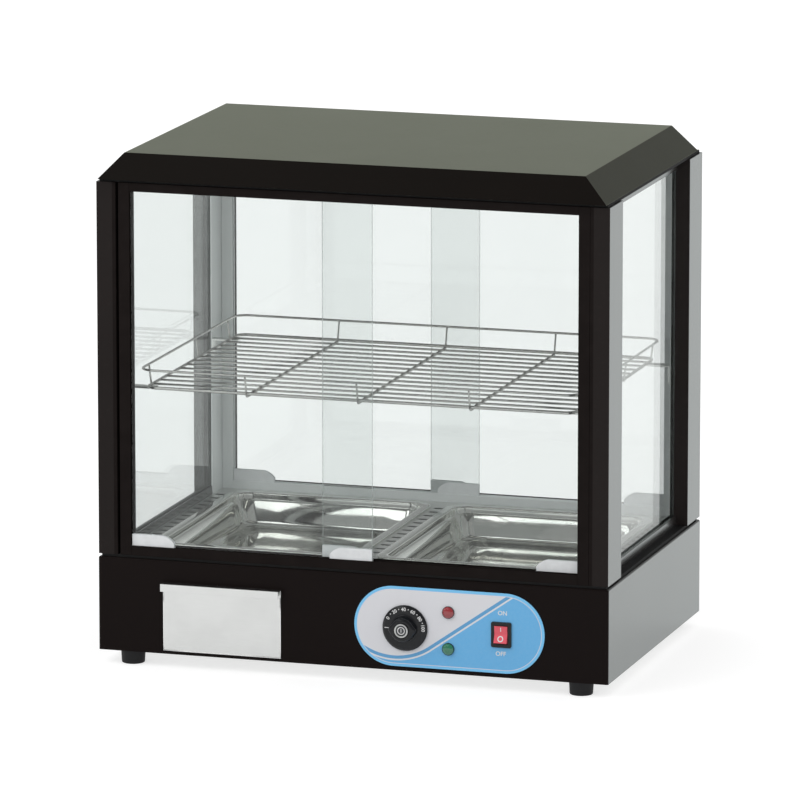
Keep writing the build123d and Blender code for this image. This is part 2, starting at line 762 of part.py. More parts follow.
def make_stiles(stand, node):
    """Makes the two upright rails of a door frame, grooved for the doors' edges."""
    with BuildPart(stand) as stiles:
        levels = (post_bottom, post_top)
        block((frame_left, opening_left), (post_front, frame_back), levels)
        block((opening_right, frame_right), (post_front, frame_back), levels)
        for ys in track_gaps():
            block((opening_left - stile_bite, opening_left), ys, levels, Mode.SUBTRACT)
            block((opening_right, opening_right + stile_bite), ys, levels, Mode.SUBTRACT)
    save(stiles, node)


def make_rail(stand, low, high, groove, node):
    """Makes the sill or the head of a door frame, with its two tracks."""
    with BuildPart(stand) as rail:
        block((opening_left, opening_right), (post_front, frame_back), (low, high))
        for ys in track_gaps():
            block((opening_left, opening_right), ys, groove, Mode.SUBTRACT)
    save(rail, node)


shoe_low = post_bottom + sill_floor + shoe_gap
door_low = shoe_low + door_glass_lift
door_high = post_top - head_roof - head_slack
shoe_half = glass / 2 + shoe_side


def make_door(stand, xs, track_y, shoe_starts, node):
    """Makes one sliding pane and, in a node of its own, its two plastic shoes.

    Each shoe has a square outer end and curves down towards the middle of the door.
    """
    with BuildPart(stand) as pane:
        block(xs, (track_y - glass / 2, track_y + glass / 2), (door_low, door_high))
    save(pane, node + "_pane")
    top = sill_top + shoe_rise
    tip = sill_top + shoe_tip
    with BuildPart(stand) as shoes:
        for start, way in shoe_starts:
            end = start + way * shoe_length
            knee = end - way * (shoe_rise - shoe_tip) * 1.6
            with BuildSketch(stand * Plane.XZ.offset(-track_y - shoe_half)):
                with BuildLine():
                    Polyline((knee, top), (start, top), (start, shoe_low), (end, shoe_low), (end, tip))
                    ThreePointArc((end, tip), ((end * 0.42 + knee * 0.58), tip + (top - tip) * 0.78), (knee, top))
                make_face()
            extrude(amount=2 * shoe_half)
        block(xs, (track_y - glass / 2, track_y + glass / 2), (door_low, top + 1), Mode.SUBTRACT)
    save(shoes, node + "_shoes")


def make_door_side(stand, where):
    """Makes the frame and the two doors of the front, or of the back when turned half round."""
    make_stiles(stand, where + "_stiles")
    make_rail(stand, post_bottom, sill_top, (post_bottom + sill_floor, sill_top), where + "_sill")
    make_rail(stand, head_bottom, post_top, (head_bottom, post_top - head_roof), where + "_head")
    bite = stile_bite - stile_slack
    make_door(stand, (opening_left - bite, left_door_edge), outer_track_y,
              ((opening_left + shoe_gap, 1), (left_door_edge, -1)), where + "_outer_door")
    make_door(stand, (right_door_edge, opening_right + bite), inner_track_y,
              ((right_door_edge, 1), (opening_right - shoe_gap, -1)), where + "_inner_door")


make_door_side(Plane.XY, "front")
make_door_side(Plane.XY.rotated((0, 0, 180)), "back")


def loop_path(level, loop_width, loop_depth, corner):
    """Gives the closed centre line of a wire loop: a rectangle with rounded corners."""
    with BuildSketch(Plane.XY.offset(level)) as outline:
        RectangleRounded(loop_width, loop_depth, corner)
    return outline.sketch.faces()[0].outer_wire()


# Shelf floor: a frame wire, long wires from side to side and three bars under them
half_w = shelf_width / 2
half_d = shelf_depth / 2
floor_path = loop_path(shelf_level, shelf_width, shelf_depth, shelf_corner)
with BuildPart() as shelf_floor:
    with BuildSketch(Plane(origin=floor_path @ 0, z_dir=floor_path % 0)):
        Circle(frame_wire)
    sweep(path=floor_path)
    wire_pitch = shelf_depth / (floor_wires + 1)
    for step in range(floor_wires):
        y = -half_d + wire_pitch * (step + 1)
        rod_along_x(y, shelf_level, floor_wire, (-half_w, half_w))
    for x in (-cross_bar_pitch, 0, cross_bar_pitch):
        rod_along_y(x, shelf_level - cross_bar_drop, frame_wire, (-half_d, half_d))
save(shelf_floor, "shelf_floor")

# Shelf guard: a wider loop above the floor on short leaning wires
guard_half_w = guard_width / 2
guard_half_d = guard_depth / 2
guard_path = loop_path(guard_level, guard_width, guard_depth, guard_corner)
with BuildPart() as shelf_guard:
    with BuildSketch(Plane(origin=guard_path @ 0, z_dir=guard_path % 0)):
        Circle(guard_wire)
    sweep(path=guard_path)
    feet_out = frame_wire + guard_post_wire
    stands = []
    for x in (-cross_bar_pitch, 0, cross_bar_pitch):
        for sign in (-1, 1):
            stands.append(((x, sign * (half_d + feet_out), shelf_level), (x, sign * guard_half_d, guard_level)))
    for y in guard_post_y:
        for sign in (-1, 1):
            stands.append(((sign * (half_w + feet_out), y, shelf_level), (sign * guard_half_w, y, guard_level)))
    for foot, head in stands:
        with BuildLine() as lean:
            Line(foot, head)
        with BuildSketch(Plane(origin=foot, z_dir=Vector(*head) - Vector(*foot))):
            Circle(guard_post_wire)
        sweep(path=lean.wires()[0])
save(shelf_guard, "shelf_guard")

# Shelf brackets: four angles on the posts' inner faces, under the corners of the shelf
with BuildPart() as shelf_brackets:
    seat = shelf_level - frame_wire - bracket_gap
    outer = half_d - shelf_corner - bracket_from_corner
    for sx in (-1, 1):
        for sy in (-1, 1):
            ys = sorted((sy * outer, sy * (outer - bracket_width)))
            block(sorted((sx * post_inner, sx * (post_inner - bracket_reach))), ys, (seat - bracket_thick, seat))
            block(sorted((sx * post_inner, sx * (post_inner - bracket_thick))), ys, (seat - bracket_drop, seat))
save(shelf_brackets, "shelf_brackets")

# Lid: a hollow pressed cover with sloping sides
with BuildPart() as lid_shell:
    for inset, mode in ((0.0, Mode.ADD), (sheet, Mode.SUBTRACT)):
        low_x = post_side - lid_side_inset - inset
        low_front = post_front - lid_front_overhang + inset
        low_back = -post_front - lid_back_inset - inset
        top_x = post_side - lid_top_side - inset * 0.5
        top_front = post_front + lid_top_front + inset
        top_back = -post_front - lid_top_back - inset
        with BuildSketch(Plane.XY.offset(lid_bottom)):
            with Locations((0, (low_front + low_back) / 2)):
                Rectangle(2 * low_x, low_back - low_front)
        with BuildSketch(Plane.XY.offset(lid_top - inset)):
            with Locations((0, (top_front + top_back) / 2)):
                Rectangle(2 * top_x, top_back - top_front)
        loft(ruled=True, mode=mode)
save(lid_shell, "lid_shell")

# Ceiling liner inside the lid, with the lamp batten, its holders and the tube below
liner_x = post_side - lid_side_inset - sheet - liner_margin
liner_front = post_front - lid_front_overhang + sheet + liner_margin
liner_back = -post_front - lid_back_inset - sheet - liner_margin
with BuildPart() as ceiling_liner:
    block((-liner_x, liner_x), (liner_front, liner_back), (lid_bottom, lid_bottom + sheet))
    for x, y in bolt_spots:
        rod_along_z(x, y, bolt_hole, (lid_bottom, lid_bottom + sheet), Mode.SUBTRACT)
save(ceiling_liner, "ceiling_liner")

batten_low = lid_bottom - batten_height
holder_x = batten_length / 2 - holder_width
tube_level = batten_low - tube_radius - head_slack
with BuildPart() as lamp_batten:
    block((-batten_length / 2, batten_length / 2), (-batten_width / 2, batten_width / 2), (batten_low, lid_bottom))
    block((-batten_length / 2 + sheet, batten_length / 2 - sheet), (-batten_width / 2 + sheet, batten_width / 2 - sheet),
          (batten_low + sheet, lid_bottom), Mode.SUBTRACT)
save(lamp_batten, "lamp_batten")

with BuildPart() as lamp_holders:
    for sign in (-1, 1):
        block(sorted((sign * holder_x, sign * (holder_x + holder_width))), (-holder_deep / 2, holder_deep / 2),
              (batten_low - holder_tall, batten_low))
        rod_along_x(0, tube_level, tube_radius, sorted((sign * holder_x, sign * (holder_x + tube_bite))),
                    Mode.SUBTRACT)
save(lamp_holders, "lamp_holders")

with BuildPart() as lamp_tube:
    rod_along_x(0, tube_level, tube_radius, (-holder_x - tube_bite, holder_x + tube_bite))
save(lamp_tube, "lamp_tube")
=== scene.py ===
import json
import logging
import math
from dataclasses import dataclass, field
from enum import Enum

import bmesh
import bpy
import numpy as np
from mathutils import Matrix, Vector


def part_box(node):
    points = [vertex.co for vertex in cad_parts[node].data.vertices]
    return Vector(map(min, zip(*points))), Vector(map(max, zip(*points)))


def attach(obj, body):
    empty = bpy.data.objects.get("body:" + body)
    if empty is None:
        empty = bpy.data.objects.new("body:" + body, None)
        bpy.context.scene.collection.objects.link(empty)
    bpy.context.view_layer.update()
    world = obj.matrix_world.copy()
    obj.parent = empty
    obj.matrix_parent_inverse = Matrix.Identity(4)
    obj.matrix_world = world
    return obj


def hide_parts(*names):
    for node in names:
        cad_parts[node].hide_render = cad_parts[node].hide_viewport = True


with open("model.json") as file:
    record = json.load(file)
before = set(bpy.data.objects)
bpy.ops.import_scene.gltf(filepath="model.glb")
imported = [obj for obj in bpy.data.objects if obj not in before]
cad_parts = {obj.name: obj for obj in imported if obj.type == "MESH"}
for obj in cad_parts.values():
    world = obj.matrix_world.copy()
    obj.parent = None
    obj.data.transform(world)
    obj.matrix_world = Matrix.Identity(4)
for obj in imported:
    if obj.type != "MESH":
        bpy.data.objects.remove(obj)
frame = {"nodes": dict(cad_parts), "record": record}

LOG = logging.getLogger("food_warmer")
MM = 0.001
ROOT = "root"
Colour = tuple[float, float, float]
Point = tuple[float, float, float]
Material = bpy.types.Material
Socket = bpy.types.NodeSocket
Number = "float | Value"
WHITE = (1.0, 1.0, 1.0, 1.0)
FLAT_DEG = 0.5
SHARP_DEG = 35.0


class Grain(Enum):
    """The way a brushed surface was rubbed, as the stretch of its streaks along X, Y and Z."""

    ALONG_X = (0.02, 1.0, 1.0)
    ALONG_Z = (1.0, 1.0, 0.02)
    POLISHED = (0.6, 0.6, 0.6)


class Value:
    """A shader socket that takes part in Python sums; each sum adds its Math node."""

    def __init__(self, shader: "Shader", socket: Socket) -> None:
        """Wraps one output socket of a shader."""
        self.shader = shader
        self.socket = socket

    def _sum(self, operation: str, *terms: Number) -> "Value":
        """Adds a Math node over the terms."""
        return self.shader.sum(operation, *terms)

    def __add__(self, other: Number) -> "Value":
        """Sum."""
        return self._sum("ADD", self, other)

    def __radd__(self, other: float) -> "Value":
        """Sum with a number on the left."""
        return self._sum("ADD", other, self)

    def __sub__(self, other: Number) -> "Value":
        """Difference."""
        return self._sum("SUBTRACT", self, other)

    def __rsub__(self, other: float) -> "Value":
        """Difference with a number on the left."""
        return self._sum("SUBTRACT", other, self)

    def __mul__(self, other: Number) -> "Value":
        """Product."""
        return self._sum("MULTIPLY", self, other)

    def __rmul__(self, other: float) -> "Value":
        """Product with a number on the left."""
        return self._sum("MULTIPLY", other, self)

    def __truediv__(self, other: Number) -> "Value":
        """Quotient."""
        return self._sum("DIVIDE", self, other)

    def __pow__(self, other: Number) -> "Value":
        """Power."""
        return self._sum("POWER", self, other)

    def __abs__(self) -> "Value":
        """Size without its sign."""
        return self._sum("ABSOLUTE", self)

    def least(self, other: Number) -> "Value":
        """The smaller of two values."""
        return self._sum("MINIMUM", self, other)

    def most(self, other: Number) -> "Value":
        """The larger of two values."""
        return self._sum("MAXIMUM", self, other)

    def root(self) -> "Value":
        """Square root."""
        return self._sum("SQRT", self)

    def above(self, edge: float, soft: float) -> "Value":
        """One where the value is above an edge, zero below it.

        Args:
            edge: The level of the edge.
            soft: The width over which the mask rises.

        Returns:
            The mask, from 0 to 1.
        """
        return ((self - edge) / soft + 0.5).most(0.0).least(1.0)


class Shader:
    """The nodes of one material, or of the room, under construction."""

    def __init__(self, owner: Material | bpy.types.World) -> None:
        """Empties the node tree of a material or a world.

        Args:
            owner: What the nodes belong to.
        """
        owner.use_nodes = True
        self.owner = owner
        self.tree = owner.node_tree
        self.tree.nodes.clear()

    @classmethod
    def named(cls, name: str) -> "Shader":
        """Starts a new material."""
        return cls(bpy.data.materials.new(name))

    def node(self, kind: str, settings: dict | None = None, inputs: dict | None = None) -> bpy.types.Node:
        """Adds a node.

        Args:
            kind: The node's type name, without the leading ShaderNode.
            settings: Attributes that are set before the sockets.
            inputs: Values, or links, by the socket's name or number.

        Returns:
            The new node.
        """
        made = self.tree.nodes.new("ShaderNode" + kind)
        for name, setting in (settings or {}).items():
            setattr(made, name, setting)
        for key, content in (inputs or {}).items():
            socket = made.inputs[key]
            if isinstance(content, Value):
                self.tree.links.new(content.socket, socket)
            elif isinstance(content, Socket):
                self.tree.links.new(content, socket)
            else:
                socket.default_value = content
        return made

    def sum(self, operation: str, *terms: Number) -> Value:
        """Adds a Math node and gives its result."""
        inputs = dict(enumerate(terms))
        return Value(self, self.node("Math", {"operation": operation}, inputs).outputs[0])

    def place(self) -> tuple[Value, Value, Value]:
        """Gives the surface point's x, y and z in millimetres.

        Returns:
            The three coordinates.
        """
        spot = self.node("TexCoord").outputs["Object"]
        split = self.node("SeparateXYZ", inputs={0: spot})
        return tuple(Value(self, split.outputs[i]) * (1 / MM) for i in range(3))

    def noise(self, size_mm: float, detail: float = 3.0, stretch: Point = (1.0, 1.0, 1.0)) -> Value:
        """Gives a cloudy pattern from 0 to 1.

        Args:
            size_mm: The size of one cloud.
            detail: The octaves of finer clouds in it.
            stretch: The pattern's scale along X, Y and Z.

        Returns:
            The pattern's height.
        """
        spot = self.node("TexCoord").outputs["Object"]
        turned = self.node("Mapping", inputs={"Vector": spot, "Scale": stretch}).outputs[0]
        inputs = {"Vector": turned, "Scale": 1 / (size_mm * MM), "Detail": detail}
        return Value(self, self.node("TexNoise", inputs=inputs).outputs[0])

    def blend(self, mask: Number, low: object, high: object) -> Socket:
        """Mixes two colours.

        Args:
            mask: 0 gives the low colour and 1 the high one.
            low: A colour, or the socket of one.
            high: A colour, or the socket of one.

        Returns:
            The mixed colour's socket.
        """
        def whole(colour: object) -> object:
            """Adds the fourth number to a colour."""
            return (*colour, 1.0) if isinstance(colour, tuple) else colour

        inputs = {0: mask, 6: whole(low), 7: whole(high)}
        return self.node("Mix", {"data_type": "RGBA"}, inputs).outputs[2]

    def bump(self, height: Value, depth_mm: float, strength: float = 1.0) -> Socket:
        """Turns a height into a normal, for a relief of a depth in millimetres."""
        inputs = {"Height": height, "Distance": depth_mm * MM, "Strength": strength}
        return self.node("Bump", inputs=inputs).outputs[0]

    def facing(self) -> Value:
        """Gives how far the surface turns away from the eye, from 0 face on to 1 edge on."""
        return Value(self, self.node("LayerWeight", inputs={"Blend": 0.5}).outputs["Facing"])

    def mix(self, share: Number, under: bpy.types.Node, over: bpy.types.Node) -> bpy.types.Node:
        """Lays one surface over another by a share from 0 to 1."""
        return self.node("MixShader", inputs={0: share, 1: under.outputs[0], 2: over.outputs[0]})

    def rays(self) -> tuple[Value, Value]:
        """Gives the masks of the rays that look straight or through glass, and of the mirrored ones.

        Returns:
            The two masks, each 0 or 1.
        """
        paths = self.node("LightPath")
        straight, through, mirrored = (
            Value(self, paths.outputs[f"Is {kind} Ray"]) for kind in ("Camera", "Transmission", "Glossy"))
        return straight.most(through), mirrored

    def finish(self, surface: bpy.types.Node) -> Material:
        """Joins a surface to the output and gives the material."""
        self.node("OutputMaterial", inputs={"Surface": surface.outputs[0]})
        return self.owner


def bright(colour: Colour, gain: float) -> Colour:
    """Gives a colour at another brightness."""
    return tuple(min(channel * gain, 1.0) for channel in colour)


@dataclass(frozen=True)
class Paint:
    """A stoved paint: dark and matt face on, and bright where it is seen along its surface.

    The sheen is laid over the colour by how far the surface turns away from the eye, raised to a
    power, so that the front stays dark and the sides mirror the pale studio.
    """

    name: str
    colour: Colour
    roughness: float = 0.42
    sheen_roughness: float = 0.16
    sheen_power: float = 3.5
    sheen_floor: float = 0.0015
    sheen_colour: Colour = (0.93, 0.98, 0.97)
    peel_mm: float = 1.1
    peel_depth_mm: float = 0.010
    cloud_mm: float = 90.0
    dust_mm: float = 7.0
    dust_share: float = 0.10

    def make(self) -> Material:
        """Builds the material."""
        s, surface = self.layers()
        return s.finish(surface)

    def layers(self) -> tuple[Shader, bpy.types.Node]:
        """Builds the painted surface, and gives it with its shader.

        Returns:
            The shader and the surface's node.
        """
        s = Shader.named(self.name)
        clouds = s.noise(self.cloud_mm, 4.0)
        dust = s.noise(self.dust_mm, 6.0).above(0.66, 0.2)
        peel = s.noise(self.peel_mm, 2.0)
        tone = s.blend(clouds, bright(self.colour, 0.86), bright(self.colour, 1.16))
        tone = s.blend(dust * self.dust_share, tone, bright(self.colour, 2.6))
        normal = s.bump(peel, self.peel_depth_mm, 0.35)
        rough = self.roughness + (clouds - 0.5) * 0.10 + dust * 0.06
        base = s.node("BsdfPrincipled", inputs={
            "Base Color": tone, "Roughness": rough, "Normal": normal, "IOR": 1.38,
            "Specular IOR Level": 0.08})
        sheen = s.node("BsdfGlossy", inputs={
            "Color": (*self.sheen_colour, 1.0), "Roughness": self.sheen_roughness, "Normal": normal})
        return s, s.mix(s.facing() ** self.sheen_power + self.sheen_floor, base, sheen)


@dataclass(frozen=True)
class Lined(Paint):
    """The frame's paint, with a pale painted reflection on the inner faces of the rear frame.

    A face takes the painted reflection where it lies between the side panes, behind the front frame
    and ahead of the rear frame's outer face. In the joints between posts and stiles shade is painted: a
    darker, matt surface.
    """

    name: str = "lined_extrusion_paint"
    colour: Colour = (0.0195, 0.0158, 0.0150)
    roughness: float = 0.5
    sheen_roughness: float = 0.22
    # Pale colour painted on the inner faces: a painted reflection of the white studio
    painted_reflection_colour: Colour = (0.87, 0.90, 0.90)
    inside_x: float = 296.5
    front_y: float = -186.0
    back_y: float = 204.0
    joint_x: float = 299.5
    joint_y: float = 208.3
    edge_mm: float = 0.2
    streak_mm: float = 0.6
    # Size of the clouds in the painted joint shade
    joint_shade_cloud_mm: float = 20.0

    def make(self) -> Material:
        """Builds the material.

        Returns:
            The material.
        """
        s, painted = self.layers()
        x, y, _ = s.place()
        edge = self.edge_mm
        # Mask of the inner faces that take the painted reflection
        reflection_mask = (1 - abs(x).above(self.inside_x, edge)) * y.above(self.front_y, edge)
        reflection_mask = reflection_mask * (1 - y.above(self.back_y, edge))
        # Mask of the narrow joints between posts and stiles, where shade is painted
        joint_shade_mask = (1 - abs(x).above(self.joint_x, edge)) * abs(y).above(-self.front_y, edge)
        joint_shade_mask = joint_shade_mask * (1 - abs(y).above(self.joint_y, edge))
        # Painted shade in the joints: a darker, matt surface without gloss
        joint_shade = s.node("BsdfPrincipled", inputs={
            "Base Color": s.blend(s.noise(self.joint_shade_cloud_mm), self.colour, bright(self.colour, 0.6)),
            "Roughness": 1.0, "Specular IOR Level": 0.0})
        # The painted reflection: a pale surface with upright streaks, laid where the mask is one
        streaks = s.noise(self.streak_mm, 4.0, Grain.ALONG_Z.value)
        painted_reflection = s.node("BsdfPrincipled", inputs={
            "Base Color": s.blend(streaks, bright(self.painted_reflection_colour, 0.92), bright(self.painted_reflection_colour, 1.06)),
            "Metallic": 0.1, "Roughness": 0.34 + (streaks - 0.5) * 0.1})
        return s.finish(s.mix(reflection_mask, s.mix(joint_shade_mask, painted, joint_shade), painted_reflection))


@dataclass(frozen=True)
class Steel:
    """An unpainted or plated steel, with the streaks that rubbing leaves and faint smears."""

    name: str
    colour: Colour = (0.78, 0.79, 0.78)
    roughness: float = 0.24
    grain: Grain = Grain.ALONG_X
    streak_mm: float = 0.5
    streak_depth_mm: float = 0.006
    smear: float = 0.08
    smear_mm: float = 38.0

    def make(self) -> Material:
        """Builds the material.

        Returns:
            The material.
        """
        s = Shader.named(self.name)
        streaks = s.noise(self.streak_mm, 4.0, self.grain.value)
        smears = s.noise(self.smear_mm, 5.0)
        tone = s.blend(streaks, bright(self.colour, 0.90), bright(self.colour, 1.08))
        tone = s.blend(smears.above(0.55, 0.3) * 0.22, tone, bright(self.colour, 0.82))
        rough = self.roughness + (streaks - 0.5) * 0.12 + (smears - 0.5) * self.smear
        return s.finish(s.node("BsdfPrincipled", inputs={
            "Base Color": tone, "Metallic": 1.0, "Roughness": rough.most(0.04),
            "Normal": s.bump(streaks, self.streak_depth_mm, 0.4)}))


@dataclass(frozen=True)
class ClearGlass:
    """A thin clear pane: see-through, mirroring more as it turns edge on, with polished green edges.

    The faces of the pane look along its face axis, which is 0 for X and 1 for Y.
    """

    name: str
    face_axis: int
    tint: Colour = (0.930, 0.941, 0.938)
    edge_colour: Colour = (0.60, 0.66, 0.64)
    rim_share: float = 0.45
    gloss_colour: Colour = (0.95, 0.97, 0.96)
    mirror_power: float = 5.0
    mirror_edge_on: float = 0.96
    mirror_face_on: float = 0.028
    smudge: float = 0.010
    smudge_mm: float = 60.0

    def make(self) -> Material:
        """Builds the material.

        Returns:
            The material.
        """
        s = Shader.named(self.name)
        split = s.node("SeparateXYZ", inputs={0: s.node("NewGeometry").outputs["Normal"]})
        facing = abs(Value(s, split.outputs[self.face_axis]))
        edge = 1 - facing.above(0.9, 0.1)
        smudges = s.noise(self.smudge_mm, 6.0).above(0.56, 0.25)
        clear = s.node("BsdfTransparent", inputs={"Color": (*self.tint, 1.0)})
        gloss = s.node("BsdfGlossy", inputs={"Color": (*self.gloss_colour, 1.0), "Roughness": 0.02})
        mirror = s.facing() ** self.mirror_power * self.mirror_edge_on + self.mirror_face_on
        pane = s.mix((mirror + smudges * self.smudge).least(1.0), clear, gloss)
        rim = s.node("BsdfPrincipled", inputs={
            "Base Color": s.blend(smudges, self.edge_colour, bright(self.edge_colour, 1.2)),
            "Roughness": 0.18})
        return s.finish(s.mix(edge * self.rim_share, pane, rim))


@dataclass(frozen=True)
class Moulding:
    """A moulded plastic or rubber, with a fine spark-eroded grain and a little handling wear."""

    name: str
    colour: Colour
    roughness: float = 0.36
    grain_mm: float = 0.5
    grain_depth_mm: float = 0.012
    glow: float = 0.0
    specular: float = 0.5
    coat: float = 0.0
    wear_mm: float = 9.0

    def make(self) -> Material:
        """Builds the material.

        Returns:
            The material.
        """
        s = Shader.named(self.name)
        grain = s.noise(self.grain_mm, 2.0)
        wear = s.noise(self.wear_mm, 5.0)
        tone = s.blend(wear, bright(self.colour, 0.88), bright(self.colour, 1.12))
        return s.finish(s.node("BsdfPrincipled", inputs={
            "Base Color": tone, "Roughness": self.roughness + (wear - 0.5) * 0.14,
            "Specular IOR Level": self.specular, "Coat Weight": self.coat, "Coat Roughness": 0.03,
            "Emission Color": (*self.colour, 1.0), "Emission Strength": self.glow,
            "Normal": s.bump(grain, self.grain_depth_mm, 0.5)}))


@dataclass(frozen=True)
class PanelPrint:
    """The control panel's printed film, drawn from distances in the panel's own plane.

    The white field ends at a line that starts as an arc under the knob and runs on straight to
    the upper right; a dark blue and a white stripe follow it, and a light band lines the rim.
    """

    name: str = "panel_print"
    centre_x: float = 123.2
    centre_z: float = 71.3
    half_length: float = 118.5
    round_radius: float = 48.9
    arc_radius: float = 75.0
    arc_x: float = -68.4
    arc_low: float = -35.9
    slope_deg: float = 35.0
    dark_stripe: float = 4.0
    white_stripe: float = 2.0
    rim: float = 3.4
    rim_line: float = 0.7
    ink_edge: float = 0.35
    white: Colour = (0.78, 0.785, 0.82)
    blue: Colour = (0.120, 0.47, 0.84)
    deep_blue: Colour = (0.085, 0.36, 0.68)
    rim_blue: Colour = (0.18, 0.60, 0.98)
    line_colour: Colour = (0.80, 0.74, 0.80)
    film_colour: Colour = (0.9, 0.9, 0.95)
    film_mm: float = 3.0
    pebble_mm: float = 0.6

    def make(self) -> Material:
        """Builds the material.

        Returns:
            The material.
        """
        s = Shader.named(self.name)
        x, _, z = s.place()
        u = x - self.centre_x
        w = z - self.centre_z
        reach = (abs(u) - (self.half_length - self.round_radius)).most(0.0)
        inward = self.round_radius - (reach * reach + w * w).root()
        slope = math.radians(self.slope_deg)
        across = u - self.arc_x
        upward = w - (self.arc_low + self.arc_radius)
        arc = self.arc_radius - (across * across + upward * upward).root()
        join_u = self.arc_x + self.arc_radius * math.sin(slope)
        join_w = self.arc_low + self.arc_radius * (1 - math.cos(slope))
        line = (w - join_w) * math.cos(slope) - (u - join_u) * math.sin(slope)
        past = u.above(join_u, 0.01)
        over = arc * (1 - past) + line * past
        film = s.noise(self.film_mm, 3.0)
        tone = s.blend(over.above(0.0, self.ink_edge), self.deep_blue, self.white)
        stripes = self.dark_stripe + self.white_stripe
        layers = ((over, -self.dark_stripe, self.white), (over, -stripes, self.blue),
                  (inward, self.rim + self.rim_line, self.line_colour), (inward, self.rim, self.rim_blue))
        for distance, level, outside in layers:
            tone = s.blend(distance.above(level, self.ink_edge), outside, tone)
        tone = s.blend(film * 0.10, tone, self.film_colour)
        return s.finish(s.node("BsdfPrincipled", inputs={
            "Base Color": tone, "Roughness": 0.34 + (film - 0.5) * 0.1,
            "Normal": s.bump(s.noise(self.pebble_mm, 2.0), 0.006, 0.4)}))


def made(finish: Paint | Steel | ClearGlass | Moulding | PanelPrint) -> Material:
    """Declares a finish whose material is built with the set."""
    return field(default_factory=finish.make)


@dataclass(frozen=True)
class Finishes:
    """Every finish of the cabinet, made once and shared."""

    shell: Material = made(Paint("shell_paint", (0.0078, 0.0048, 0.0044)))
    extrusion: Material = made(Paint(
        "extrusion_paint", (0.0195, 0.0158, 0.0150), roughness=0.5, sheen_roughness=0.22))
    lid: Material = made(Paint(
        "lid_paint", (0.0070, 0.0050, 0.0040), sheen_roughness=0.30, sheen_power=6.0, sheen_floor=0.001,
        sheen_colour=(0.93, 1.0, 0.80)))
    # Near-black strips in the seams over the base and under the lid: partly the dark joint, partly painted
    # shade of the shadow in these gaps
    seam: Material = made(Moulding("seam_black_and_shade", (0.004, 0.004, 0.004), 0.8))
    drawer: Material = made(Steel("drawer_steel", (0.72, 0.73, 0.72)))
    hem: Material = made(Steel("hem_steel", (0.93, 0.93, 0.92), 0.3))
    deck: Material = made(Steel("deck_steel", (0.72, 0.73, 0.71), 0.30))
    pan: Material = made(Steel("pan_steel", (0.86, 0.87, 0.83), 0.07, Grain.POLISHED, 4.0, 0.008, 0.06))
    zinc: Material = made(Steel("zinc_plate", (0.62, 0.63, 0.62), 0.38, Grain.POLISHED, 6.0))
    wire: Material = made(Steel("bright_wire", (0.56, 0.56, 0.54), 0.20, Grain.POLISHED, 1.0))
    heater: Material = made(Steel("heater_tube", (0.30, 0.27, 0.24), 0.45, Grain.POLISHED, 4.0))
    rubber: Material = made(Moulding("foot_rubber", (0.011, 0.011, 0.012), 0.62, specular=0.3))
    black: Material = made(Moulding("black_moulding", (0.010, 0.011, 0.013), 0.22, specular=0.32))
    white: Material = made(Moulding("white_moulding", (0.82, 0.84, 0.85), 0.34))
    pale: Material = made(Moulding("insulator", (0.62, 0.58, 0.50), 0.5))
    rocker: Material = made(Moulding("rocker_red", (0.82, 0.11, 0.15), 0.22))
    red: Material = made(Moulding("lens_red", (0.32, 0.020, 0.028), 0.08, coat=1.0))
    green: Material = made(Moulding("lens_green", (0.010, 0.19, 0.095), 0.08, coat=1.0))
    cap: Material = made(Moulding("cap_face", (0.045, 0.050, 0.055), 0.3))
    ink: Material = made(Moulding("white_ink", (0.80, 0.80, 0.80), 0.5))
    lamp: Material = made(Moulding("lamp_tube_glass", (0.95, 0.93, 0.86), 0.2, glow=1.5))
    # The ceiling liner is coloured dark: painted shade under the lid, which the polished pans mirror
    liner: Material = made(Moulding("ceiling_painted_shade", (0.10, 0.10, 0.095), 0.4))
    # Frame paint with a painted reflection on its inner faces and painted shade in its joints
    painted_light_frame: Material = made(Lined())
    panel: Material = made(PanelPrint())
    door_glass: Material = made(ClearGlass("door_glass", 1))
    side_glass: Material = made(ClearGlass("side_glass", 0))


def sheet_mesh(name: str, grid: np.ndarray, wrap_rows: bool = False,
               wrap_columns: bool = True) -> bpy.types.Mesh:
    """Joins a grid of points into a mesh of quads.

    Args:
        name: The mesh's name.
        grid: Points in metres, as rows by columns by 3. A row that is one point makes a pole.
        wrap_rows: Whether the last row joins the first.
        wrap_columns: Whether the last column joins the first.

    Returns:
        The mesh, its poles merged and its faces turned outwards.
    """
    rows, columns = grid.shape[:2]
    at = np.arange(rows * columns).reshape(rows, columns)
    down = np.roll(at, -1, 0) if wrap_rows else at[1:]
    top = at if wrap_rows else at[:-1]
    quads = np.stack([top, np.roll(top, -1, 1), np.roll(down, -1, 1), down], -1)
    if not wrap_columns:
        quads = quads[:, :-1]
    mesh = bpy.data.meshes.new(name)
    mesh.from_pydata(grid.reshape(-1, 3), [], quads.reshape(-1, 4).tolist())
    work = bmesh.new()
    work.from_mesh(mesh)
    bmesh.ops.remove_doubles(work, verts=work.verts, dist=1e-7)
    bmesh.ops.recalc_face_normals(work, faces=work.faces)
    work.to_mesh(mesh)
    work.free()
    mesh.shade_smooth()
    return mesh


def turned(profile: np.ndarray, centre: Point, steps: int = 96,
           swell: np.ndarray | None = None) -> np.ndarray:
    """Turns a profile about the Y axis through a centre.

    Point (i, j) is the centre, plus profile radius i along the ray at angle j in the XZ plane,
    plus profile height i towards -Y. A swell, of rows by steps, multiplies the radius.

    Args:
        profile: Radius and height pairs in millimetres.
        centre: The axis point in millimetres.
        steps: The points round a turn.
        swell: Radius factors, or None for a plain turned form.

    Returns:
        The grid of points in metres.
    """
    angle = np.linspace(0, 2 * np.pi, steps, endpoint=False)
    radius = profile[:, :1] * (np.ones((1, steps)) if swell is None else swell)
    x = centre[0] + radius * np.cos(angle)
    z = centre[2] + radius * np.sin(angle)
    y = np.broadcast_to(centre[1] - profile[:, 1:2], x.shape)
    return np.stack([x, y, z], -1) * MM


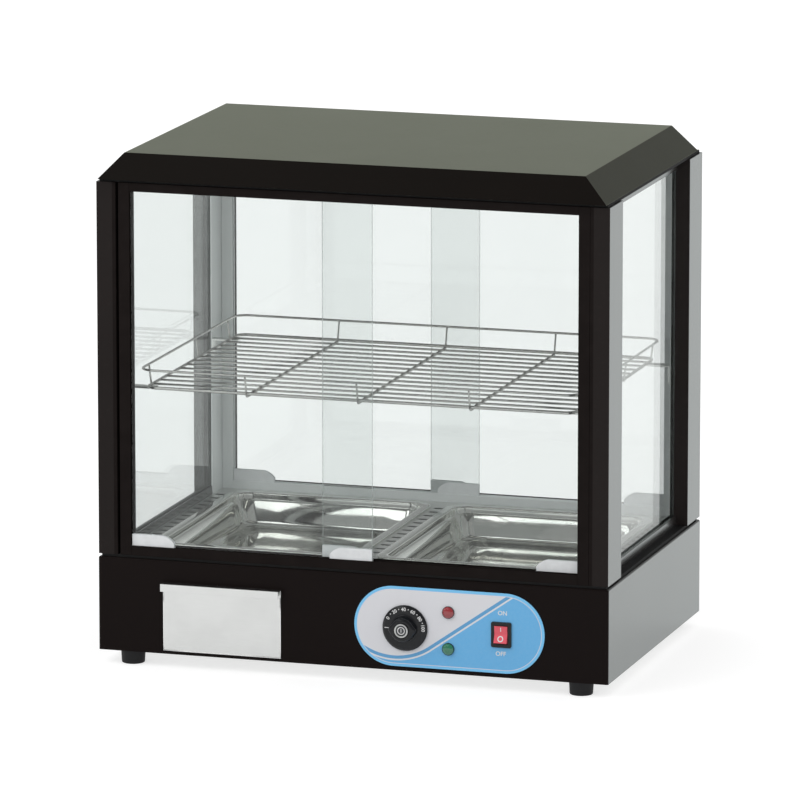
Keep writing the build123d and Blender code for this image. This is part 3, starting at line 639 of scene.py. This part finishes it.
def rounded_loop(half_x: float, half_y: float, corner: float, per_corner: int = 10,
                 per_side: int = 6) -> np.ndarray:
    """Gives points round a rectangle with rounded corners.

    Each corner is a quarter circle about a centre set in by the corner radius; straight sides
    between them are divided evenly.

    Args:
        half_x: Half the width.
        half_y: Half the length.
        corner: The corner radius.
        per_corner: Points on each quarter circle.
        per_side: Points added on each side.

    Returns:
        The points, as an array of two columns.
    """
    parts = []
    quarter = np.linspace(0, np.pi / 2, per_corner)
    starts = [(1, 1, 0.0), (-1, 1, np.pi / 2), (-1, -1, np.pi), (1, -1, 3 * np.pi / 2)]
    for sx, sy, start in starts:
        centre = np.array([sx * (half_x - corner), sy * (half_y - corner)])
        parts.append(centre + corner * np.stack([np.cos(start + quarter), np.sin(start + quarter)], -1))
    loop = []
    share = np.linspace(0, 1, per_side + 2)[1:-1, None]
    for part, following in zip(parts, parts[1:] + parts[:1]):
        loop.extend([part, part[-1] * (1 - share) + following[0] * share])
    return np.concatenate(loop)


def tube(path: np.ndarray, radius: float, closed: bool, sides: int = 10) -> np.ndarray:
    """Carries a circle along a path.

    Row i is a circle in the plane across the path's direction at point i, spanned by the
    direction's cross products with the upright axis and with the first of these.

    Args:
        path: Points in millimetres.
        radius: The wire's radius.
        closed: Whether the path is a loop.
        sides: The points round the wire.

    Returns:
        The grid of points in metres; an open tube ends in poles.
    """
    ahead = np.roll(path, -1, 0) - np.roll(path, 1, 0)
    if not closed:
        ahead[0] = path[1] - path[0]
        ahead[-1] = path[-1] - path[-2]
    ahead /= np.linalg.norm(ahead, axis=1, keepdims=True)
    upright = np.tile([0.0, 0.0, 1.0], (len(path), 1))
    upright[np.abs(ahead[:, 2]) > 0.9] = [0.0, 1.0, 0.0]
    side = np.cross(ahead, upright)
    side /= np.linalg.norm(side, axis=1, keepdims=True)
    other = np.cross(side, ahead)
    angle = np.linspace(0, 2 * np.pi, sides, endpoint=False)[None, :, None]
    rings = path[:, None] + radius * (np.cos(angle) * side[:, None] + np.sin(angle) * other[:, None])
    if closed:
        return rings * MM
    ends = [np.repeat(path[i][None, None], sides, 1) for i in (0, -1)]
    return np.concatenate([ends[0], rings, ends[1]]) * MM


def straight_wire(start: Point, end: Point, radius: float) -> bpy.types.Mesh:
    """Makes one straight wire between two points, in millimetres.

    Args:
        start: One end.
        end: The other end.
        radius: The wire's radius.

    Returns:
        The wire's mesh.
    """
    share = np.linspace(0, 1, 5)[:, None]
    path = np.array(start) * (1 - share) + np.array(end) * share
    return sheet_mesh("wire", tube(path, radius, False))


def joined(name: str, meshes: list[bpy.types.Mesh]) -> bpy.types.Mesh:
    """Puts several meshes into one.

    Args:
        name: The new mesh's name.
        meshes: The meshes.

    Returns:
        The new mesh.
    """
    work = bmesh.new()
    for mesh in meshes:
        work.from_mesh(mesh)
    whole = bpy.data.meshes.new(name)
    work.to_mesh(whole)
    work.free()
    whole.shade_smooth()
    return whole


def add_piece(mesh: bpy.types.Mesh, name: str, body: str, material: Material,
              slot: str, stands_for: tuple[str, ...] = ()) -> bpy.types.Object:
    """Adds a new visible piece to the object.

    Args:
        mesh: Its mesh, with its place in it.
        name: The piece's name.
        body: The body that it moves with.
        material: Its finish.
        slot: The record's material slot; not used.
        stands_for: The nodes that it replaces.

    Returns:
        The object.
    """
    piece = bpy.data.objects.new(name, mesh)
    bpy.context.scene.collection.objects.link(piece)
    mesh.materials.clear()
    mesh.materials.append(material)
    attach(piece, body)
    if stands_for:
        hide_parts(*stands_for)
    LOG.info("piece %s on %s, %d faces", name, body, len(mesh.polygons))
    return piece


def box_mm(node: str) -> tuple[np.ndarray, np.ndarray]:
    """Gives a node's lowest and highest corner in millimetres."""
    low, high = (np.array(corner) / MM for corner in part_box(node))
    return low, high


def seat_of(node: str) -> Point:
    """Gives the middle of a node's rear face in millimetres, where it stands on the panel."""
    low, high = box_mm(node)
    return (low[0] + high[0]) / 2, high[1], (low[2] + high[2]) / 2


def body_of(node: str) -> str:
    """Gives the body that a node is on."""
    bodies = frame["record"]["behaviour"]["bodies"]
    return next(body for body, nodes in bodies.items() if node in nodes)


def slot_of(node: str) -> str:
    """Gives the record's material slot of a node."""
    return next(row["material_slot"] for row in frame["record"]["subparts"] if row["node"] == node)


def dress(node: str, material: Material) -> None:
    """Gives a node that keeps its own shape its finish.

    Args:
        node: The node.
        material: Its finish.
    """
    mesh = frame["nodes"][node].data
    mesh.materials.clear()
    mesh.materials.append(material)
    LOG.info("node %s dressed in %s", node, material.name)


def soften(node: str, radius_mm: float, material: Material, segments: int = 3) -> None:
    """Replaces a node by a copy whose sharp edges are rounded, as folded and moulded edges are.

    Args:
        node: The node.
        radius_mm: The width of the rounding.
        material: Its finish.
        segments: The faces across the rounding.
    """
    mesh = frame["nodes"][node].data.copy()
    work = bmesh.new()
    work.from_mesh(mesh)
    bmesh.ops.remove_doubles(work, verts=work.verts, dist=1e-6)
    bmesh.ops.dissolve_limit(work, angle_limit=math.radians(FLAT_DEG), verts=work.verts, edges=work.edges)
    work.to_mesh(mesh)
    work.free()
    mesh.attributes.remove(mesh.attributes["custom_normal"])
    mesh.shade_smooth()
    piece = add_piece(mesh, node + "_edged", body_of(node), material, slot_of(node), (node,))
    bevel = piece.modifiers.new("edges", "BEVEL")
    bevel.width = radius_mm * MM
    bevel.segments = segments
    bevel.limit_method = "ANGLE"
    bevel.angle_limit = math.radians(SHARP_DEG)
    bevel.harden_normals = True


@dataclass
class Studio:
    """The camera, the pale room and the soft lamp, in metres and degrees where no unit is named."""

    azimuth: float = 17.195
    elevation: float = 11.336
    distance: float = 9.6148
    target: Point = (-0.00037, -0.009, 0.305)
    lens_mm: float = 356.06
    sensor_mm: float = 36.0
    far: float = 60.0
    floor_half: float = 6.0
    skyline: float = 0.11
    skyline_soft: float = 0.20
    dome_level: float = 0.30
    fill_level: float = 0.95
    floor_seen: float = 0.62
    floor_mirrored: float = 0.5
    floor_tones: tuple[float, float] = (0.52, 0.55)
    floor_cloud_mm: float = 400.0
    lamp_width: float = 2.4
    lamp_height: float = 1.8
    lamp_watts: float = 26.0
    lamp_gloss: float = 0.4
    lamp_spot: Point = (-2.2, -2.6, 3.0)
    lamp_aim: Point = (0.0, 0.0, 0.3)

    def camera(self) -> None:
        """Places the camera on the line that the photograph was taken along."""
        turn, rise = math.radians(self.azimuth), math.radians(self.elevation)
        back = Vector((math.sin(turn) * math.cos(rise), -math.cos(turn) * math.cos(rise), math.sin(rise)))
        data = bpy.data.cameras.new("camera")
        data.lens = self.lens_mm
        data.sensor_width = self.sensor_mm
        data.clip_end = self.far
        camera = bpy.data.objects.new("camera", data)
        camera.location = Vector(self.target) + back * self.distance
        camera.rotation_euler = (-back).to_track_quat("-Z", "Y").to_euler()
        bpy.context.scene.collection.objects.link(camera)
        bpy.context.scene.camera = camera

    def world(self) -> None:
        """Lights the room: white to the eye, and to gloss white at the skyline and dimmer above."""
        world = bpy.data.worlds.new("room")
        bpy.context.scene.world = world
        s = Shader(world)
        split = s.node("SeparateXYZ", inputs={0: s.node("TexCoord").outputs["Generated"]})
        height = Value(s, split.outputs[2])
        seen, mirrored = s.rays()
        dome = 1 - height.above(self.skyline, self.skyline_soft) * (1 - self.dome_level)
        level = self.fill_level + mirrored * (dome - self.fill_level)
        level = level + seen * (1.0 - level)
        back = s.node("Background", inputs={"Color": WHITE, "Strength": level})
        s.node("OutputWorld", inputs={"Surface": back.outputs[0]})

    def floor(self) -> None:
        """Lays the pale floor, which takes the object's shadow and is white to gloss."""
        h = self.floor_half
        grid = np.array([[(-h, -h, 0), (-h, h, 0)], [(h, -h, 0), (h, h, 0)]], dtype=float)
        mesh = sheet_mesh("floor", grid, wrap_columns=False)
        floor = bpy.data.objects.new("floor", mesh)
        bpy.context.scene.collection.objects.link(floor)
        s = Shader.named("floor_paper")
        seen, mirrored = s.rays()
        dark, light = ((tone,) * 3 for tone in self.floor_tones)
        paper = s.node("BsdfPrincipled", inputs={
            "Base Color": s.blend(s.noise(self.floor_cloud_mm), dark, light), "Roughness": 1.0,
            "Specular IOR Level": 0.0, "Emission Color": WHITE,
            "Emission Strength": seen * self.floor_seen + mirrored * self.floor_mirrored})
        mesh.materials.append(s.finish(paper))

    def lamps(self) -> None:
        """Hangs one broad soft lamp to the upper left of the camera."""
        data = bpy.data.lights.new("softbox", "AREA")
        data.shape = "RECTANGLE"
        data.size = self.lamp_width
        data.size_y = self.lamp_height
        data.energy = self.lamp_watts
        data.specular_factor = self.lamp_gloss
        lamp = bpy.data.objects.new("softbox", data)
        lamp.location = self.lamp_spot
        lamp.rotation_euler = (Vector(self.lamp_aim) - lamp.location).to_track_quat("-Z", "Y").to_euler()
        bpy.context.scene.collection.objects.link(lamp)

    def build(self) -> None:
        """Sets the stage."""
        self.camera()
        self.world()
        self.floor()
        self.lamps()
        bpy.context.scene.view_settings.view_transform = "Standard"


@dataclass
class Carcass:
    """The base and its inner works, the posts, the door frames, the seams, the lamp and the lid."""

    finishes: Finishes
    fold_mm: float = 0.8
    extrusion_mm: float = 0.5
    foot_mm: float = 0.5

    def build(self) -> None:
        """Dresses every piece of the carcass."""
        f = self.finishes
        dress("base_shell", f.shell)
        soften("lid_shell", self.fold_mm, f.lid)
        for node in ("side_sills", "side_heads"):
            soften(node, self.extrusion_mm, f.extrusion, 2)
        posts = [f"post_{end}_{side}" for end in ("front", "back") for side in ("left", "right")]
        frames = [f"{end}_{part}" for end in ("front", "back") for part in ("stiles", "sill", "head")]
        # Posts and frames take the frame paint with its painted reflection and painted joint shade
        for node in posts + frames:
            soften(node, self.extrusion_mm, f.painted_light_frame, 2)
        soften("feet", self.foot_mm, f.rubber, 2)
        dressed = {
            # The seam strips carry the dark joint and the painted shade of the gaps
            f.seam: ("plinth_strips", "top_strips"),
            f.zinc: ("bottom_plate", "foot_screws", "post_bolts", "drawer_runners", "heater_rails",
                     "sensor_bulb"),
            f.heater: ("heating_elements",),
            f.pale: ("terminal_block",),
            # The ceiling liner takes the dark painted shade
            f.liner: ("ceiling_liner",),
            f.white: ("lamp_batten", "lamp_holders"),
            f.lamp: ("lamp_tube",)}
        for material, nodes in dressed.items():
            for node in nodes:
                dress(node, material)


@dataclass
class Glazing:
    """The side panes, the four sliding doors and their corner shoes."""

    finishes: Finishes
    arris_mm: float = 0.35
    shoe_mm: float = 0.5

    def build(self) -> None:
        """Dresses the panes and the shoes."""
        for side in ("left", "right"):
            soften(f"side_pane_{side}", self.arris_mm, self.finishes.side_glass, 1)
        for where in ("front", "back"):
            for track in ("outer", "inner"):
                soften(f"{where}_{track}_door_pane", self.arris_mm, self.finishes.door_glass, 1)
                soften(f"{where}_{track}_door_shoes", self.shoe_mm, self.finishes.white)


@dataclass
class Pans:
    """The deck and the two drawn pans. Sizes in millimetres."""

    finishes: Finishes
    rim: float = 11.0
    rim_height: float = 3.2
    wall: float = 0.8
    depth: float = 40.0
    corner: float = 24.0
    step_depth: float = 9.0
    step: float = 3.0
    taper: float = 9.0
    foot_round: float = 9.0
    drawn_sheet: float = 0.56
    turn_radius: float = 1.3
    throat_radius: float = 2.2
    floor_ring: float = 9.0

    def profile(self) -> np.ndarray:
        """Gives the pan's section as rows of inset, level below the rim and corner radius.

        It goes from the turned-down lip over the crowned rim, round into the wall, over the
        step, down the tapered wall, round the foot and in across the slightly domed floor.

        Returns:
            The rows, from the lip to the floor.
        """
        corner, edge = self.corner, self.rim
        turn, throat = self.turn_radius, self.throat_radius
        lip = [(0.35, -self.rim_height, corner), (0.0, -self.rim_height / 2, corner)]
        sweep = np.linspace(0, np.pi / 2, 5)
        crown = [(turn - turn * math.cos(a), turn * math.sin(a) - turn, corner - 1) for a in sweep]
        rim = [(edge - 4.0, -0.1, corner - 4)]
        inner = [(edge - throat + throat * math.sin(a), throat * math.cos(a) - throat, corner - 3)
                 for a in sweep]
        ledge = [(edge + 0.2, 1.4 - self.step_depth, corner - 3),
                 (edge + 0.9, 0.4 - self.step_depth, corner - 3),
                 (edge + self.step - 0.8, -self.step_depth, corner - 4),
                 (edge + self.step, -self.step_depth - 0.8, corner - 4)]
        bottom = edge + self.step + self.taper
        base = self.wall - self.depth
        r = self.foot_round
        foot = [(bottom - 2.2 + r * (1 - math.cos(a)), base + r * (1 - math.sin(a)),
                 corner - 6 + 2 * math.sin(a)) for a in np.linspace(0, np.pi / 2, 8)]
        ring = bottom + r + self.floor_ring
        floor = [(ring, base, corner - 8), (ring + 2.0, base + 1.2, corner - 9),
                 (ring + 30.0, base + 1.6, corner - 12)]
        return np.array([*lip, *crown, *rim, *inner, *ledge, *foot, *floor])

    def surface(self, node: str) -> np.ndarray:
        """Carries the section round a rectangle with rounded corners and closes the floor.

        Args:
            node: The pan's node, whose box gives the rectangle.

        Returns:
            The grid of points in metres.
        """
        low, high = box_mm(node)
        centre = (low + high) / 2
        half = (high - low) / 2
        rows = []
        for inset, level, corner in self.profile():
            loop = rounded_loop(half[0] - inset, half[1] - inset, corner) + centre[:2]
            rows.append(np.column_stack([loop, np.full(len(loop), high[2] + level)]))
        middle = rows[-1].copy()
        middle[:, :2] = centre[:2]
        return np.stack([*rows, middle]) * MM

    def build(self) -> None:
        """Makes both pans and dresses the deck."""
        for side in ("left", "right"):
            node = f"pan_{side}"
            piece = add_piece(sheet_mesh(node, self.surface(node)), f"{node}_drawn", node, self.finishes.pan,
                              slot_of(node), (node,))
            wall = piece.modifiers.new("wall", "SOLIDIFY")
            wall.thickness = self.drawn_sheet * MM
            wall.offset = -1.0
        dress("deck_plate", self.finishes.deck)


@dataclass
class Rack:
    """The wire shelf, drawn as welded wires, and its brackets. Sizes in millimetres."""

    finishes: Finishes
    level: float = 337.0
    floor_width: float = 536.0
    floor_depth: float = 356.0
    floor_corner: float = 12.0
    frame_wire: float = 2.0
    floor_wire: float = 1.4
    floor_wires: int = 13
    bar_pitch: float = 140.0
    bar_drop: float = 3.0
    guard_rise: float = 23.0
    guard_wire: float = 1.5
    guard_post: float = 1.2
    guard_width: float = 548.0
    guard_depth: float = 374.0
    guard_corner: float = 18.0
    guard_posts_y: tuple[float, ...] = (-150.0, 29.0, 150.0)
    bracket_mm: float = 0.4

    def loop(self, name: str, half_x: float, half_y: float, corner: float, level: float,
             wire: float) -> bpy.types.Mesh:
        """Makes one closed wire: a rounded rectangle carried at a level.

        Args:
            name: The mesh's name.
            half_x: Half the width.
            half_y: Half the depth.
            corner: The corner radius.
            level: The height of the wire.
            wire: The wire's radius.

        Returns:
            The wire's mesh.
        """
        flat = rounded_loop(half_x, half_y, corner)
        path = np.column_stack([flat, np.full(len(flat), level)])
        return sheet_mesh(name, tube(path, wire, True), wrap_rows=True)

    def floor_meshes(self) -> list[bpy.types.Mesh]:
        """Makes the frame wire, the long wires and the bars under them.

        Returns:
            The wires.
        """
        w, d = self.floor_width / 2, self.floor_depth / 2
        wires = [self.loop("frame_wire", w, d, self.floor_corner, self.level, self.frame_wire)]
        pitch = self.floor_depth / (self.floor_wires + 1)
        for step in range(self.floor_wires):
            y = -d + pitch * (step + 1)
            wires.append(straight_wire((-w, y, self.level), (w, y, self.level), self.floor_wire))
        low = self.level - self.bar_drop
        for x in (-self.bar_pitch, 0.0, self.bar_pitch):
            wires.append(straight_wire((x, -d, low), (x, d, low), self.frame_wire))
        return wires

    def guard_meshes(self) -> list[bpy.types.Mesh]:
        """Makes the guard loop and the short wires that it stands on.

        Returns:
            The wires.
        """
        w, d = self.guard_width / 2, self.guard_depth / 2
        top = self.level + self.guard_rise
        out = self.frame_wire + self.guard_post
        foot_x, foot_y = self.floor_width / 2 + out, self.floor_depth / 2 + out
        wires = [self.loop("guard_wire", w, d, self.guard_corner, top, self.guard_wire)]
        for sign in (-1, 1):
            feet = [((x, sign * foot_y), (x, sign * d)) for x in (-self.bar_pitch, 0.0, self.bar_pitch)]
            feet += [((sign * foot_x, y), (sign * w, y)) for y in self.guard_posts_y]
            for foot, head in feet:
                wires.append(straight_wire((*foot, self.level), (*head, top), self.guard_post))
        return wires

    def build(self) -> None:
        """Makes the shelf and dresses its brackets."""
        for node, wires in (("shelf_floor", self.floor_meshes()), ("shelf_guard", self.guard_meshes())):
            name = node + "_wires"
            add_piece(joined(name, wires), name, "shelf", self.finishes.wire, slot_of(node), (node,))
        soften("shelf_brackets", self.bracket_mm, self.finishes.deck, 2)


@dataclass
class Lettering:
    """Raised print: words are made as curves, turned into meshes and laid on a face."""

    material: Material
    capital_scale: float = 1.42
    boldness: float = 0.025

    def word(self, text: str, name: str, body: str, slot: str, centre: Point, size_mm: float,
             turn_deg: float = 0.0, lift_mm: float = 0.12) -> bpy.types.Object:
        """Lays one word on a face that looks towards -Y.

        Args:
            text: The word.
            name: The piece's name.
            body: The body it rides on.
            slot: The record's material slot.
            centre: The word's middle, in millimetres.
            size_mm: The height of its capitals.
            turn_deg: Its turn in the face, anticlockwise as read.
            lift_mm: The thickness of the ink.

        Returns:
            The word as a piece.
        """
        curve = bpy.data.curves.new(name, "FONT")
        curve.body = text
        curve.align_x = "CENTER"
        curve.align_y = "CENTER"
        curve.size = size_mm * MM * self.capital_scale
        curve.extrude = lift_mm * MM / 2
        curve.offset = size_mm * MM * self.boldness
        holder = bpy.data.objects.new(name + "_curve", curve)
        bpy.context.scene.collection.objects.link(holder)
        bpy.context.view_layer.update()
        mesh = bpy.data.meshes.new_from_object(holder.evaluated_get(bpy.context.evaluated_depsgraph_get()))
        bpy.data.objects.remove(holder)
        flat = np.empty(len(mesh.vertices) * 3)
        mesh.vertices.foreach_get("co", flat)
        flat = flat.reshape(-1, 3)
        turn = math.radians(turn_deg)
        across = flat[:, 0] * math.cos(turn) - flat[:, 1] * math.sin(turn)
        up = flat[:, 0] * math.sin(turn) + flat[:, 1] * math.cos(turn)
        placed = np.column_stack([across, -flat[:, 2], up]) + np.array(centre) * MM
        mesh.vertices.foreach_set("co", placed.ravel())
        mesh.update()
        return add_piece(mesh, name, body, self.material, slot)


@dataclass
class Controls:
    """The panel with its knob, lamps and switch, and the drawer beside it. Sizes in millimetres."""

    finishes: Finishes
    skirt_height: float = 4.5
    grip_radius: float = 14.5
    bar_radius: float = 18.0
    bar_half_deg: float = 17.0
    bar_middle: float = 12.0
    bar_reach: float = 10.5
    knob_steps: int = 144
    knob_height: float = 18.0
    cap_mark_size: float = 4.4
    number_radius: float = 23.3
    number_size: float = 4.2
    dot_radius: float = 23.8
    dot_size: float = 3.36
    pointer_gap: float = 3.6
    pointer_size: float = 5.0
    ink_lift: float = 0.03
    numbers: tuple[str, ...] = ("0", "20", "40", "60", "80", "100")
    hem_radius: float = 0.7
    drawer_sheet: float = 1.0
    drawer_pull: float = 9.5
    fold_mm: float = 0.4
    plate_mm: float = 0.3
    gland_mm: float = 0.5
    lens_radius: float = 7.1
    lens_dome: float = 3.2
    lens_step: float = 0.3
    lens_steps: int = 96
    facets: int = 12
    facet_share: float = 0.03
    marks: tuple[tuple[str, str, float, float], ...] = (
        ("I", "rocker_on_mark", 6.2, 5.0), ("O", "rocker_off_mark", -5.0, 6.6))
    words: tuple[tuple[str, float, float], ...] = (("on", 189.6, 95.9), ("off", 187.6, 46.2))
    word_size: float = 5.2
    mark_lift: float = 0.12
    first_angle: float = 150.0
    last_angle: float = 5.0

    def knob(self) -> None:
        """Makes the knob: a skirt with a bevelled rim, and a grip that swells into a bar.

        The grip's radius at an angle is the core radius plus a bell-shaped swell centred on the
        two ends of the bar, which fades out towards the domed top.
        """
        low, high = box_mm("thermostat_knob")
        centre = seat_of("thermostat_knob")
        rim = (high[0] - low[0]) / 2
        g, h, top = self.grip_radius, self.knob_height, self.skirt_height
        skirt = [(0.0, 0.0), (rim - 0.4, 0.0), (rim, 0.5), (rim, 2.0), (rim - 0.4, 2.6),
                 (rim - 3.0, top - 0.3), (rim - 3.6, top), (g + 2.6, top), (g + 1.0, top + 0.8),
                 (g + 0.4, top + 2.5)]
        crown = [(g, h - 5.0), (g - 0.5, h - 3.0), (g - 1.8, h - 1.8), (g - 4.0, h - 1.3), (g - 4.6, h - 2.0),
                 (0.0, h - 2.0)]
        sections = np.array(skirt + crown)
        radius, level = sections.T
        angle = np.linspace(0, 2 * np.pi, self.knob_steps, endpoint=False)
        off_bar = np.abs((angle + np.pi / 2) % np.pi - np.pi / 2)
        bell = np.exp(-(off_bar / math.radians(self.bar_half_deg)) ** 2)
        share = np.clip(1 - np.abs(level - self.bar_middle) / self.bar_reach, 0, 1)
        share = share * (radius < g + 1.2) * (radius > g - 2)
        swell = 1 + share[:, None] * bell[None] * (self.bar_radius / g - 1)
        mesh = sheet_mesh("knob", turned(sections, centre, self.knob_steps, swell))
        piece = add_piece(mesh, "knob_grip", "knob", self.finishes.black, slot_of("thermostat_knob"),
                          ("thermostat_knob",))
        smooth = piece.modifiers.new("round", "SUBSURF")
        smooth.levels = smooth.render_levels = 1
        self.cap(centre)
        self.dial(centre)

    def cap(self, centre: Point) -> None:
        """Makes the cap: a dark dished face in a plated ring, with a white ring and a slot mark.

        Args:
            centre: The knob's seat on the panel, in millimetres.
        """
        f, h, slot = self.finishes, self.knob_height, slot_of("knob_cap")
        face = np.array([(0.0, h - 0.7), (6.6, h - 0.6), (7.2, h - 1.8), (0.0, h - 1.9)])
        add_piece(sheet_mesh("cap", turned(face, centre)), "knob_cap_face", "knob", f.cap, slot,
                  ("knob_cap",))
        rings = {"plated": (6.6, 8.4, h - 0.1, f.zinc), "white": (3.5, 4.9, h - 0.55, f.ink)}
        for name, (inner, outer, top, material) in rings.items():
            band = np.array([(inner, top - 0.6), (outer, top - 0.6), (outer, top - 0.25), (outer - 0.25, top),
                             (inner + 0.25, top), (inner, top - 0.25)])
            ring = sheet_mesh(name, turned(band, centre), wrap_rows=True)
            add_piece(ring, f"knob_cap_ring_{name}", "knob", material, slot)
        face_centre = (centre[0], centre[1] - h + 0.65, centre[2])
        Lettering(f.ink).word("I", "knob_cap_mark", "knob", slot, face_centre, self.cap_mark_size)

    def dial(self, centre: Point) -> None:
        """Prints the numbers, the dots between them and the pointer on the knob.

        Args:
            centre: The knob's seat on the panel, in millimetres.
        """
        ink = Lettering(self.finishes.ink)
        slot = slot_of("thermostat_knob")
        y = centre[1] - self.skirt_height - self.ink_lift
        marks = 2 * len(self.numbers) - 1
        for step in range(marks):
            angle = self.first_angle + (self.last_angle - self.first_angle) * step / (marks - 1)
            ray = math.radians(angle)
            if step % 2 == 0:
                text, size, r = self.numbers[step // 2], self.number_size, self.number_radius
            else:
                text, size, r = "•", self.dot_size, self.dot_radius
            spot = (centre[0] + r * math.cos(ray), y, centre[2] + r * math.sin(ray))
            ink.word(text, f"dial_mark_{step}", "knob", slot, spot, size, angle - 90)
        tip = (centre[0] - self.bar_radius - self.pointer_gap, y, centre[2])
        ink.word("I", "dial_pointer", "knob", slot, tip, self.pointer_size, 90)

    def lamps(self) -> None:
        """Makes the two domed lenses, each with a ring of facets under its crown."""
        for name, material in (("red", self.finishes.red), ("green", self.finishes.green)):
            node = f"{name}_lens"
            low, high = box_mm(node)
            rise = high[1] - low[1]
            bezel = rise - self.lens_dome - self.lens_step
            sweep = np.linspace(0, np.pi / 2, 9)
            dome = np.column_stack([self.lens_radius * np.cos(sweep), bezel + (rise - bezel) * np.sin(sweep)])
            sections = np.vstack([(0.0, bezel), dome[:-1], (0.0, rise)])
            angle = np.linspace(0, 2 * np.pi, self.lens_steps, endpoint=False)
            faceted = np.isin(np.arange(len(sections)), (3, 4, 5))[:, None]
            ripple = 1 - self.facet_share * (np.cos(self.facets * angle)[None] + 1) * faceted
            mesh = sheet_mesh(node, turned(sections, seat_of(node), self.lens_steps, ripple))
            add_piece(mesh, f"{name}_lens_dome", ROOT, material, slot_of(node), (node,))

    def switch(self) -> None:
        """Dresses the rocker and its housing, and prints the marks on and beside them."""
        dress("switch_housing", self.finishes.black)
        dress("switch_rocker", self.finishes.rocker)
        ink = Lettering(self.finishes.ink)
        low, high = box_mm("switch_rocker")
        x, z = (low[0] + high[0]) / 2, (low[2] + high[2]) / 2
        slot = slot_of("switch_rocker")
        for text, name, rise, size in self.marks:
            mark = ink.word(text, name, "rocker", slot, (x, low[1] - 2.0, z + rise), size, lift_mm=0.0)
            laid = mark.modifiers.new("laid_on", "SHRINKWRAP")
            laid.target = frame["nodes"]["switch_rocker"]
            laid.wrap_method = "PROJECT"
            laid.use_project_y = True
            laid.use_negative_direction = False
            laid.offset = self.mark_lift * MM
        face = box_mm("panel_plate")[0][1]
        for word, across, level in self.words:
            place = (across, face, level)
            ink.word(word.upper(), f"word_{word}", ROOT, slot_of("panel_plate"), place, self.word_size)

    def drawer(self) -> None:
        """Dresses the drawer and lays the bright folded hem round its plate."""
        f = self.finishes
        soften("drawer_front", self.fold_mm, f.drawer, 2)
        dress("drawer_tray", f.drawer)
        low, high = box_mm("drawer_front")
        r = self.hem_radius
        left, right, foot, face = low[0] + r, high[0] - r, low[2] + r, high[1] - self.drawer_sheet
        top = high[2] - self.drawer_pull
        corners = [(left, face, top), (left, face, foot), (right, face, foot), (right, face, top)]
        hems = [straight_wire(a, b, r) for a, b in zip(corners, corners[1:])]
        add_piece(joined("drawer_hem", hems), "drawer_hem", "water_drawer", f.hem, slot_of("drawer_front"))

    def build(self) -> None:
        """Makes and dresses the whole front."""
        f = self.finishes
        self.knob()
        self.lamps()
        self.switch()
        soften("panel_plate", self.plate_mm, f.panel, 2)
        self.drawer()
        dress("lamp_bodies", f.black)
        dress("thermostat_body", f.pale)
        dress("thermostat_shaft", f.zinc)
        soften("cable_gland", self.gland_mm, f.black)
        dress("gland_nut", f.black)


def main() -> None:
    """Builds the stage and the cabinet."""
    logging.basicConfig(level=logging.INFO, format="%(name)s: %(message)s")
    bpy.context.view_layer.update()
    Studio().build()
    finishes = Finishes()
    for part in (Carcass, Glazing, Pans, Rack, Controls):
        part(finishes).build()
    bpy.context.view_layer.update()


if __name__ == "__main__":
    main()
